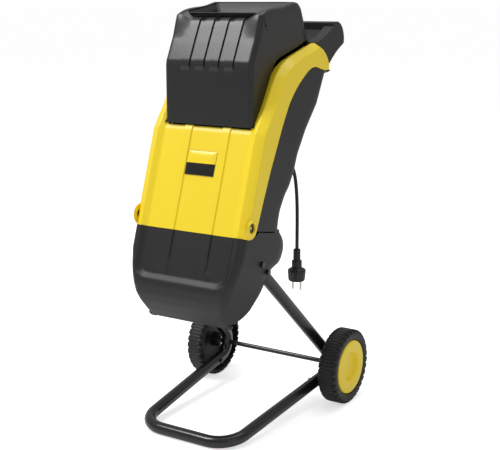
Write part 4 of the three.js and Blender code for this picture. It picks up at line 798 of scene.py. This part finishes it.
HOOD_ROUND = 9.0
SHOULDER_LIFT = 13.0


def raised_shoulders(grid):
    """Lifts the hood's front corners: most at the front of each side, nothing at mid width.

    The lift is its greatest value times a smooth step across, one along the depth and one up the
    height. It is straight up, so it has a part along t and one along s.
    """
    y, z = to_upright(grid[..., 1], grid[..., 2])
    lift = SHOULDER_LIFT * smoothstep(np.abs(grid[..., 0]), 56, 90)
    lift = lift * (1 - smoothstep(y, -205, -112)) * smoothstep(z, 772, 806)
    up = lift[..., None] * np.array([0, -math.sin(LEAN), math.cos(LEAN)])
    return grid + up


def hood(sizes):
    """The hood's outline carried across: rounded towards each side, then down to its lower edge.

    Near a side a point moves in along the normal by R(1 - cos a) while x grows by R sin a; four
    strips stand proud of the sloping face; the mouth is left open.
    """
    pairs = [[tuple(to_leaning(a)), tuple(to_leaning(b))] for a, b in HOOD_PAIRS]
    top, edge = paired_lines(pairs, 190, 9)
    normal = outward(top)
    a = np.linspace(0, np.pi / 2, 9)
    walls = np.r_[4, HOOD_STRIP_HALF - 0.5, HOOD_STRIP_HALF + 0.5]
    walls = np.r_[-walls[::-1], walls]
    strips = np.concatenate([c + walls for c in HOOD_STRIPS])
    shoulder = np.array([64, 68, 72, 76, 80, MOUTH_HALF, 87, 91])
    flat = np.unique(np.r_[strips, 0, shoulder, -shoulder])
    turn_x = HOOD_HALF - HOOD_ROUND + HOOD_ROUND * np.sin(a)
    turn_d = HOOD_ROUND * (1 - np.cos(a))
    x = np.r_[-turn_x[::-1], flat[1:-1], turn_x]
    inward = np.r_[turn_d[::-1], np.zeros(len(flat) - 2), turn_d]
    y, z = to_upright(top[:, 0], top[:, 1])
    rise = smoothstep(z, 712, 726) * (1 - smoothstep(y, -214, -206))
    proud = np.zeros((len(top), len(x)))
    for centre in HOOD_STRIPS:
        proud += HOOD_STRIP_RISE * rise[:, None] * (np.abs(x - centre) < HOOD_STRIP_HALF)
    face = top[:, None] - normal[:, None] * (inward[None] - proud)[..., None]
    face = np.concatenate([np.broadcast_to(x, face.shape[:2])[..., None], face], -1)
    start = top - normal * HOOD_ROUND
    k = np.linspace(0, 1, 8)[None, 1:, None]
    drop = start[:, None] * (1 - k) + edge[:, None] * k
    sides = []
    for side in (-1, 1):
        wall = np.concatenate([np.full(drop.shape[:2] + (1,), side * HOOD_HALF), drop], -1)
        sides.append(wall[:, ::-1] if side < 0 else wall)
    grid = np.concatenate([sides[0], face, sides[1]], 1)
    across = np.abs((grid[:-1, :-1, 0] + grid[1:, 1:, 0]) / 2)
    mid_y = (y[:-1] + y[1:]) / 2
    opening = ((mid_y > MOUTH[0]) & (mid_y < MOUTH[1]))[:, None] & (across < MOUTH_HALF)
    faces = grid_faces(*grid.shape[:2], keep=~opening)
    obj = new_piece("hopper_hood_skin", leaning(raised_shoulders(grid)), faces, finish_of("hood"),
                    "upper_body", "hopper_hood", 25)
    walled(obj, sizes.wall, 0.0008)


def rounded_loop(half, front, back, radius, steps=6):
    """A rectangle with round corners, as (x, t, s) points, between a front and a back point."""
    front, back = np.asarray(front, float), np.asarray(back, float)
    length = np.linalg.norm(back - front)
    along = (back - front) / length
    a = np.linspace(0, np.pi / 2, steps)
    corner = np.stack([np.sin(a), 1 - np.cos(a)], -1) * radius
    right = np.stack([half - radius + corner[:, 0], corner[:, 1]], -1)
    far = np.stack([right[::-1, 0], length - right[::-1, 1]], -1)
    loop = np.concatenate([right, far, far[::-1] * [-1, 1], right[::-1] * [-1, 1]])
    ts = front + along * loop[:, 1:]
    return np.concatenate([loop[:, :1], ts], -1)


def feed_funnel():
    """Rounded rectangles from the mouth's flared rim down the slanting chute, level by level."""
    rim = to_leaning([(MOUTH[0] - 1.6, 811.6), (MOUTH[1] + 1.6, 840.6)])
    flare = to_leaning([(MOUTH[0] + 7, 800), (MOUTH[1] - 10, 824)])
    throat = [
        (MOUTH_HALF + 1.6, rim[0], rim[1], 4),
        (MOUTH_HALF - 8, flare[0], flare[1], 7),
        (62, (13, 420), (56, 420), 8),
        (56, (13, 330), (52, 330), 8),
        (44, (14, 240), (51, 240), 7),
        (36, (28, 187), (53, 187), 6),
    ]
    loops = np.array([rounded_loop(h, a, b, r) for h, a, b, r in throat])
    steps = [2, 10, 6, 6, 4]
    rows = [loops[0]]
    for a, b, n in zip(loops, loops[1:], steps):
        rows += [a + (b - a) * k / n for k in range(1, n + 1)]
    grid = np.array(rows)
    faces = grid_faces(*grid.shape[:2], loop_columns=True)
    obj = new_piece("feed_funnel", leaning(raised_shoulders(grid)), faces, finish_of("black"),
                    "upper_body", "feed_chute", 35)
    walled(obj, 0.0024, 0.0004)


# ---------------------------------------------------------------- stand and wheels

TUBE = 12.0
FOOT_CORNER = np.array([107.0, -351.0, 12.0])
FOOT_BEND = 56.0
KNEE = np.array([133.0, 40.5, 62.3])
JOINT_Y = -62.0  # where strut and foot tube meet
STRUT_TOP = np.array([[109.0, 64.0, 154.0]])  # in the leaning frame


def stand():
    """Round bars along bent paths: the foot tube's U, and a strut each side over the axle."""
    along = KNEE - FOOT_CORNER
    joint = FOOT_CORNER + along * ((JOINT_Y - FOOT_CORNER[1]) / along[1])
    mirror = np.array([-1, 1, 1])
    corners = [joint * mirror, FOOT_CORNER * mirror, FOOT_CORNER, joint]
    path = bent(corners, [FOOT_BEND, FOOT_BEND], 20)
    grid = upright(swept(straightened(path), TUBE, 32))
    closed_tube("foot_tube_painted", grid, finish_of("paint"), "base", "foot_tube")
    back = leaning(STRUT_TOP)[0] * 1000 - [0, AXLE_Y * 1000, 0]
    up, down = back - KNEE, joint - KNEE
    up, down = up / np.linalg.norm(up), down / np.linalg.norm(down)
    half = math.acos(up @ down) / 2
    reach = math.hypot(KNEE[1], KNEE[2] - AXLE_Z)
    bend = reach / (1 / math.sin(half) - 1)
    unit = along / np.linalg.norm(along)
    for name, side in SIDES:
        turn = np.array([side, 1, 1])
        path = bent([(joint + unit * 0.3) * turn, KNEE * turn, back * turn], [bend], 20)
        grid = upright(swept(straightened(path), TUBE, 32))
        closed_tube(f"{name}_strut_painted", grid, finish_of("paint"), "base",
                    f"{name}_strut_tube")


WHEEL = 80.0
WIDTH = 42.0
TREADS = 64
LUGS = 32
COVER_SIDES = 96
# Half sections as (radius, distance out from the wheel's inner face).
TYRE_SECTION = [
    (71, 0), (75.5, 0), (80, 4.5), (80, 7.5), (80, 14), (80, 21), (80, 28), (80, 34.5),
    (80, 37.5), (75.5, 41.6), (69.5, 42), (61.5, 41), (58.4, 38.5), (58.2, 34), (40, 31),
    (15, 28), (5.2, 28), (5.2, 0), (15, 0), (16, 22), (40, 24), (58, 27), (69.5, 23),
]
COVER_SECTION = [
    (0.02, 32.0), (25, 32.0), (28.5, 33.4), (31.5, 40.2), (34.5, 41.5), (49, 41.8),
    (55.5, 41.2), (57.6, 39.6), (57.6, 35.5), (50, 37.6), (35.5, 37.2), (32, 33.4),
    (29, 31.2), (0.02, 30.2),
]


def tread(r, place, a, sizes):
    """Cross grooves and shoulder notches: the radius drops in a narrow band of each pitch.

    The groove is deeper at the shoulders than in the middle of the tyre's width; the notch is
    only at the shoulders. Whichever cuts deeper at a place is the one that counts.
    """
    phase = (a * TREADS / (2 * np.pi)) % 1
    groove = smoothstep(phase, 0.0, 0.12) * (1 - smoothstep(phase, 0.3, 0.42))
    band = smoothstep(r, WHEEL - 7, WHEEL - 4)
    middle = 1 - 0.55 * (1 - smoothstep(np.abs(place - WIDTH / 2), 6, 14))
    turn = (a * LUGS / (2 * np.pi)) % 1
    notch = smoothstep(turn, 0.0, 0.1) * (1 - smoothstep(turn, 0.34, 0.44))
    shoulder = smoothstep(np.abs(place - WIDTH / 2), 12.5, 15) * smoothstep(r, 67, 74)
    fine = 1000 * sizes.tread_depth * groove[None] * band * middle
    coarse = 1000 * sizes.lug_depth * notch[None] * shoulder
    return r - np.maximum(fine, coarse)


def wheels(sizes):
    """Each wheel is a section turned round the axle, its tread cut by the angle round the axle."""
    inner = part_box("right_wheel")[0].x * 1000
    profile = rounded(TYRE_SECTION, 2.2, 5)
    cover = rounded(COVER_SECTION, 1.8, 5)
    shift = np.array([0, inner])
    for name, side in SIDES:
        body = f"{name}_road_wheel"
        ring = turned(profile + shift, (0, 0, AXLE_Z), "x", TREADS * 6, side,
                      lambda r, p, a: tread(r, p - inner, a, sizes))
        faces = grid_faces(len(profile), TREADS * 6, loop_rows=True, loop_columns=True)
        new_piece(f"{name}_tyre", upright(ring), faces[:, ::side], finish_of("wheel"), body,
                  f"{name}_wheel", 34)
        ring = turned(cover + shift, (0, 0, AXLE_Z), "x", COVER_SIDES, side)
        n = len(cover)
        first = list(range(COVER_SIDES))
        caps = [first[::side], [(n - 1) * COVER_SIDES + k for k in first][::-side]]
        faces = grid_faces(n, COVER_SIDES, loop_columns=True)
        new_piece(f"{name}_hub_cap", upright(ring), faces[:, ::-side], finish_of("yellow"), body,
                  f"{name}_hub_cover", 40, caps)


# ---------------------------------------------------------------- badge, controls and handle


BADGE_SPAN = (296.0, 344.0)
BADGE_CORNER = 3.0
BADGE_SIDES = 72


def badge():
    """A thin plate with round corners: rings shrinking from its back edge towards its middle.

    Its map is the place across and along the plate, from 0 to 1.
    """
    low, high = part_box("front_badge")
    half = (high.x - low.x) / 2 * 1000
    s0, s1 = BADGE_SPAN
    a = np.linspace(0, 2 * np.pi, BADGE_SIDES, endpoint=False)
    radius, height = BADGE_CORNER, (s1 - s0) / 2
    dx, ds = np.cos(a), np.sin(a)
    x = np.sign(dx) * (half - radius) + radius * dx
    s = np.sign(ds) * (height - radius) + radius * ds
    x[np.abs(dx) < 1e-9] = 0
    rings = [(1, -0.1), (1, -1.0), (0.985, -1.25), (0.5, -1.25)]
    grid = np.stack([np.stack([x * k, np.full_like(x, t), (s0 + s1) / 2 + s * k], -1)
                     for k, t in rings])
    n = len(rings)
    faces = grid_faces(n, BADGE_SIDES, loop_columns=True)
    caps = [list(range(BADGE_SIDES))[::-1],
            list(range((n - 1) * BADGE_SIDES, n * BADGE_SIDES))]
    obj = new_piece("front_badge_film", leaning(grid), faces, finish_of("film"), "upper_body",
                    "front_badge", 40, caps)
    flat = grid.reshape(-1, 3)
    uv = np.stack([flat[:, 0] / half / 2 + 0.5, (flat[:, 2] - s0) / (s1 - s0)], -1)
    layer = obj.data.uv_layers.new(name="film")
    index = np.zeros(len(obj.data.loops), int)
    obj.data.loops.foreach_get("vertex_index", index)
    layer.data.foreach_set("uv", uv[index].ravel())


def handle_and_controls():
    """Frame solids whose shape is right, with their edges eased."""
    for node_name, key, body, width, slot in (
        ("carry_handle", "black", "upper_body", 3.0, "black_plastic"),
        ("switch_box", "black", "upper_body", 1.0, "black_plastic"),
        ("overload_breaker", "black", "upper_body", 0.6, "black_plastic"),
        ("switch_rocker", "red", "rocker", 0.8, "red_plastic"),
        ("reset_button", "red", "reset", 0.8, "red_plastic"),
        ("locking_knob", "black", "knob", 1.2, "black_plastic"),
    ):
        eased_copy(node_name, finish_of(key), body, width)


SLOT_FINISHES = {
    "steel": "zinc", "cast_alloy": "cast", "copper": "copper", "red_plastic": "red",
    "black_plastic": "black", "yellow_plastic": "yellow", "black_paint": "paint",
    "black_rubber": "pvc", "wheel_plastic": "wheel", "badge_film": "black",
}
GROUND_PARTS = {"cutting_disc", "knife_a", "knife_b", "motor_shaft"}


def inner_parts():
    """Materials for the frame solids that keep their own shape."""
    for part in frame["record"]["subparts"]:
        name = part["node"]
        key = "ground" if name in GROUND_PARTS else SLOT_FINISHES[part["material_slot"]]
        if name.endswith("plug_pin"):
            key = "nickel"
        if name == "axle" or "bolt" in name or "pivot_screw" in name:
            key = "paint"
        for material_slot in frame["nodes"][name].material_slots:
            material_slot.material = finish_of(key)


# ---------------------------------------------------------------- mains lead

LEAD_X = 75.0
LEAD_ROUTE = [
    (-85.1, 523.1), (-72, 517.5), (-62.5, 509), (-55.4, 496.5), (-50, 480), (-46, 460),
    (-43.5, 438), (-42, 415), (-41.5, 390), (-41.5, 362), (-41.5, 333.3),
]
PLUG_TOP = 333.0
PLUG_FOOT = 264.0
PLUG_SIDES = 96
GLAND_FACE = 156.5
GLAND_S = 368.0
GLAND_SIDES = 48


def mains_lead():
    """A round lead on one smooth curve from the gland down to the plug, with gland and plug.

    The gland and the plug are turned profiles; the gland's sleeve and the plug's neck carry
    rings, where the radius swells and falls with the place along them.
    """
    stops = np.array([[LEAD_X, y, z] for y, z in LEAD_ROUTE])
    route = upright(soft_line(stops, 26, 26))
    data = bpy.data.curves.new("mains_lead_pvc", "CURVE")
    data.dimensions = "3D"
    spline = data.splines.new("POLY")
    spline.points.add(len(route) - 1)
    spline.points.foreach_set("co", np.c_[route, np.ones(len(route))].ravel())
    data.bevel_depth, data.bevel_resolution, data.use_fill_caps = 0.0037, 5, True
    lead = bpy.data.objects.new("mains_lead_pvc", data)
    bpy.context.scene.collection.objects.link(lead)
    data.materials.append(finish_of("pvc"))
    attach(lead, "upper_body")
    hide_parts("mains_lead")

    plug = plug_body()
    gland()


def plug_body():
    """Turned plug: ribbed neck, stepped waist, and a flange whose rim is fluted for grip."""
    top = PLUG_TOP
    neck = [(7.2 + 0.7 * (k % 2) + 0.02 * k, top - 1.5 - 2.0 * k) for k in range(11)]
    profile = rounded(
        [(3.8, top), (6.6, top)] + neck
        + [(8.2, top - 24), (10.9, top - 25.5), (10.6, top - 38), (12.5, top - 41), (18.4, top - 44),
           (19.3, top - 47), (18.6, top - 56), (17.6, PLUG_FOOT + 2.5), (15.5, PLUG_FOOT),
           (0.02, PLUG_FOOT)],
        0.8, 4)

    def fluted(r, place, a):
        band = smoothstep(r, 15, 17.5) * smoothstep(place, PLUG_FOOT + 1, PLUG_FOOT + 4)
        return r - 0.7 * band * (0.5 + 0.5 * np.cos(a * 16))

    ring = turned(profile, (LEAD_X, LEAD_ROUTE[-1][0], 0), "z", PLUG_SIDES, 1, fluted)
    n = len(profile)
    first = list(range(PLUG_SIDES))
    caps = [first, [(n - 1) * PLUG_SIDES + k for k in first][::-1]]
    faces = grid_faces(n, PLUG_SIDES, loop_columns=True)[:, ::-1]
    return new_piece("mains_plug_moulded", upright(ring), faces, finish_of("pvc"), "upper_body",
                     "mains_plug", 40, caps)


def gland():
    """Turned gland: collar against the casing, then a tapering sleeve with bend relief rings."""
    face = GLAND_FACE
    rings = [(8.6 - 0.28 * k + 0.55 * (k % 2), face + 9.5 + 2.2 * k) for k in range(10)]
    profile = rounded(
        [(4.2, face - 8), (10.9, face - 8), (10.9, face + 1), (10.2, face + 1), (10.2, face + 3.2),
         (13.8, face + 3.2), (13.8, face + 8), (9.4, face + 8.4)] + rings
        + [(5.8, face + 32.5), (5.4, face + 33), (4.2, face + 33)], 0.6, 4)
    ring = turned(profile, (LEAD_X, 0, GLAND_S), "y", GLAND_SIDES)
    n = len(profile)
    first = list(range(GLAND_SIDES))
    caps = [first[::-1], [(n - 1) * GLAND_SIDES + k for k in first]]
    faces = grid_faces(n, GLAND_SIDES, loop_columns=True)
    new_piece("cable_gland_ribbed", leaning(ring), faces, finish_of("pvc"), "upper_body",
              "cable_gland", 45, caps)


# ---------------------------------------------------------------- stage and camera


def seen_by_camera(tree, otherwise, direct):
    """A strength that is `direct` where the camera looks at it and `otherwise` for its light."""
    path = node(tree, "ShaderNodeLightPath")
    strength = node(tree, "ShaderNodeMapRange", None, {"Value": path.outputs["Is Camera Ray"]})
    strength.inputs["To Min"].default_value = otherwise
    strength.inputs["To Max"].default_value = direct
    return strength.outputs["Result"]


def stage(settings):
    """A wide white floor and surround, three soft lights, and the camera.

    Floor and surround look brighter to the camera than they light the object, so the background
    stays white and the black plastics stay dark.
    """
    a = np.linspace(0, 2 * np.pi, 96, endpoint=False)
    rings = np.array([0.001, 3, 20, 600])[:, None]
    grid = np.stack([rings * np.cos(a), rings * np.sin(a), np.zeros((4, 96))], -1)
    mesh = bpy.data.meshes.new("floor")
    mesh.from_pydata(grid.reshape(-1, 3).tolist(), [],
                     grid_faces(4, 96, loop_columns=True).tolist())
    floor = bpy.data.objects.new("floor", mesh)
    bpy.context.scene.collection.objects.link(floor)
    paper = bpy.data.materials.new("Studio paper white")
    paper.use_nodes = True
    shader = paper.node_tree.nodes["Principled BSDF"]
    shader.inputs["Base Color"].default_value = linear("#f6f6f5")
    shader.inputs["Roughness"].default_value = 0.9
    shader.inputs["Emission Color"].default_value = (1, 1, 1, 1)
    paper.node_tree.links.new(seen_by_camera(paper.node_tree, 0.05, settings.glow),
                              shader.inputs["Emission Strength"])
    mesh.materials.append(paper)

    world = bpy.data.worlds.new("Studio")
    bpy.context.scene.world = world
    world.use_nodes = True
    world.node_tree.nodes["Background"].inputs["Color"].default_value = (1, 1, 1, 1)
    world.node_tree.links.new(seen_by_camera(world.node_tree, settings.surround, 1),
                              world.node_tree.nodes["Background"].inputs["Strength"])

    def softbox(name, place, aim, size, power):
        data = bpy.data.lights.new(name, "AREA")
        data.shape, data.size, data.energy = "SQUARE", size, power
        lamp = bpy.data.objects.new(name, data)
        bpy.context.scene.collection.objects.link(lamp)
        direction = np.array(aim, float) - np.array(place, float)
        lamp.location = place
        flat = math.hypot(direction[0], direction[1])
        lamp.rotation_euler = (math.atan2(flat, -direction[2]), 0,
                               math.atan2(-direction[0], direction[1]))

    softbox("Key", (-1.3, -1.25, 2.7), (0, -0.1, 0.7), 1.1, settings.key)
    softbox("Fill", (2.4, -1.4, 1.2), (0, 0, 0.4), 1.4, settings.fill)
    softbox("Top", (0.1, 0.3, 3.0), (0, 0, 0.3), 2.0, settings.top)
    # The default view transform dulls a strong yellow; this one shows the colours as they are.
    bpy.context.scene.view_settings.view_transform = "Standard"

    data = bpy.data.cameras.new("Camera")
    camera = bpy.data.objects.new("Camera", data)
    bpy.context.scene.collection.objects.link(camera)
    data.sensor_width, data.lens = 36, settings.lens
    camera.location = (1.1193, AXLE_Y - 1.8736, 0.8409)
    camera.rotation_euler = (math.radians(90 - 12.23), 0, math.radians(32.37))
    bpy.context.scene.camera = camera


# ---------------------------------------------------------------- add-on


def colour(name, description, value):
    """A colour property from an sRGB hex value."""
    return bpy.props.FloatVectorProperty(
        name=name, description=description, subtype="COLOR", size=3, min=0, max=1,
        default=linear(value)[:3],
    )


class ShredderColours(bpy.types.PropertyGroup):
    casing: colour("Casing", "Moulded colour of the front casing and hub caps", "#ffe02a")
    housing: colour("Housing", "Moulded colour of the hood, back and lower housing", "#1c1c1c")
    tube: colour("Tube", "Powder coat of the stand", "#111111")
    wheel: colour("Wheel", "Moulded colour of the wheels", "#191919")
    lead: colour("Lead", "Colour of the mains lead and plug", "#161616")


def length(name, description, value):
    """A length property, in metres."""
    return bpy.props.FloatProperty(
        name=name, description=description, default=value, min=0, unit="LENGTH", precision=4,
    )


class ShredderSizes(bpy.types.PropertyGroup):
    wall: length("Wall", "Thickness of the moulded casings", 0.003)
    strip_rise: length("Strip rise", "How far the two front strips stand proud", 0.0025)
    tread_depth: length("Tread depth", "Depth of the tyres' fine cross grooves", 0.0018)
    lug_depth: length("Lug depth", "Depth of the notches at the tyres' shoulders", 0.0042)


class ShredderStage(bpy.types.PropertyGroup):
    surround: bpy.props.FloatProperty(
        name="Surround", description="Strength of the white surround", default=0.42, min=0)
    key: bpy.props.FloatProperty(
        name="Key", description="Power of the front light", default=43, min=0, unit="POWER")
    fill: bpy.props.FloatProperty(
        name="Fill", description="Power of the right light", default=3.2, min=0, unit="POWER")
    top: bpy.props.FloatProperty(
        name="Top", description="Power of the overhead light", default=26, min=0, unit="POWER")
    glow: bpy.props.FloatProperty(
        name="Floor glow", description="Brightness added to the white table", default=0.6, min=0)
    lens: bpy.props.FloatProperty(
        name="Lens", description="Focal length in millimetres", default=74.06, min=10)


class SHREDDER_OT_stage(bpy.types.Operator):
    """Lays the floor, hangs the lights and sets the camera"""

    bl_idname = "shredder.stage"
    bl_label = "Stage"

    def execute(self, context):
        stage(context.scene.shredder_stage)
        return {"FINISHED"}


class SHREDDER_OT_mains_lead(bpy.types.Operator):
    """Makes the lead with its gland and plug"""

    bl_idname = "shredder.mains_lead"
    bl_label = "Mains lead"

    def execute(self, context):
        mains_lead()
        return {"FINISHED"}


class SHREDDER_OT_inner_parts(bpy.types.Operator):
    """Gives the inner parts and fasteners their materials"""

    bl_idname = "shredder.inner_parts"
    bl_label = "Inner parts"

    def execute(self, context):
        inner_parts()
        return {"FINISHED"}


class SHREDDER_OT_front_casing(bpy.types.Operator):
    """Makes the yellow front casing and its pivot bosses"""

    bl_idname = "shredder.front_casing"
    bl_label = "Front casing"

    def execute(self, context):
        front_casing(context.scene.shredder_sizes)
        return {"FINISHED"}


class SHREDDER_OT_back_casing(bpy.types.Operator):
    """Makes the back casing with its vents and shelf"""

    bl_idname = "shredder.back_casing"
    bl_label = "Back casing"

    def execute(self, context):
        back_casing(context.scene.shredder_sizes)
        return {"FINISHED"}


class SHREDDER_OT_lower_casing(bpy.types.Operator):
    """Makes the housing round the cutting disc"""

    bl_idname = "shredder.lower_casing"
    bl_label = "Lower housing"

    def execute(self, context):
        lower_housing(context.scene.shredder_sizes)
        return {"FINISHED"}


class SHREDDER_OT_hood(bpy.types.Operator):
    """Makes the hood over the feed mouth"""

    bl_idname = "shredder.hood"
    bl_label = "Hopper hood"

    def execute(self, context):
        hood(context.scene.shredder_sizes)
        return {"FINISHED"}


class SHREDDER_OT_feed_funnel(bpy.types.Operator):
    """Makes the funnel inside the hood"""

    bl_idname = "shredder.feed_funnel"
    bl_label = "Feed funnel"

    def execute(self, context):
        feed_funnel()
        return {"FINISHED"}


class SHREDDER_OT_stand(bpy.types.Operator):
    """Makes the foot tube and the two struts"""

    bl_idname = "shredder.stand"
    bl_label = "Stand"

    def execute(self, context):
        stand()
        return {"FINISHED"}


class SHREDDER_OT_wheels(bpy.types.Operator):
    """Makes both wheels and their hub covers"""

    bl_idname = "shredder.wheels"
    bl_label = "Wheels"

    def execute(self, context):
        wheels(context.scene.shredder_sizes)
        return {"FINISHED"}


class SHREDDER_OT_badge(bpy.types.Operator):
    """Makes the plain two-tone badge"""

    bl_idname = "shredder.badge"
    bl_label = "Badge"

    def execute(self, context):
        badge()
        return {"FINISHED"}


class SHREDDER_OT_controls(bpy.types.Operator):
    """Makes the handle, switch, button and knob"""

    bl_idname = "shredder.controls"
    bl_label = "Handle and controls"

    def execute(self, context):
        handle_and_controls()
        return {"FINISHED"}


OPERATORS = (
    SHREDDER_OT_stage, SHREDDER_OT_mains_lead, SHREDDER_OT_inner_parts,
    SHREDDER_OT_front_casing, SHREDDER_OT_back_casing, SHREDDER_OT_lower_casing,
    SHREDDER_OT_hood, SHREDDER_OT_feed_funnel, SHREDDER_OT_stand, SHREDDER_OT_wheels,
    SHREDDER_OT_badge, SHREDDER_OT_controls,
)
GROUPS = (ShredderColours, ShredderSizes, ShredderStage)


class SHREDDER_PT_sidebar(bpy.types.Panel):
    """Lists the shredder's pieces, colours and stage"""

    bl_label = "Shredder"
    bl_idname = "SHREDDER_PT_sidebar"
    bl_space_type = "VIEW_3D"
    bl_region_type = "UI"
    bl_category = "Shredder"

    def draw(self, context):
        scene = context.scene
        column = self.layout.column()
        for values in (scene.shredder_colours, scene.shredder_sizes, scene.shredder_stage):
            for name in values.__annotations__:
                column.prop(values, name)
        for operator in OPERATORS:
            column.operator(operator.bl_idname)


CLASSES = (*GROUPS, *OPERATORS, SHREDDER_PT_sidebar)


def register():
    for cls in CLASSES:
        bpy.utils.register_class(cls)
    bpy.types.Scene.shredder_colours = bpy.props.PointerProperty(type=ShredderColours)
    bpy.types.Scene.shredder_sizes = bpy.props.PointerProperty(type=ShredderSizes)
    bpy.types.Scene.shredder_stage = bpy.props.PointerProperty(type=ShredderStage)


def unregister():
    del bpy.types.Scene.shredder_colours
    del bpy.types.Scene.shredder_sizes
    del bpy.types.Scene.shredder_stage
    for cls in reversed(CLASSES):
        bpy.utils.unregister_class(cls)


def main():
    """Registers the classes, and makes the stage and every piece."""
    register()
    bpy.ops.shredder.stage()
    bpy.ops.shredder.mains_lead()
    bpy.ops.shredder.inner_parts()
    bpy.ops.shredder.front_casing()
    bpy.ops.shredder.back_casing()
    bpy.ops.shredder.lower_casing()
    bpy.ops.shredder.hood()
    bpy.ops.shredder.feed_funnel()
    bpy.ops.shredder.stand()
    bpy.ops.shredder.wheels()
    bpy.ops.shredder.badge()
    bpy.ops.shredder.controls()
    bpy.context.view_layer.update()


if __name__ == "__main__":
    main()
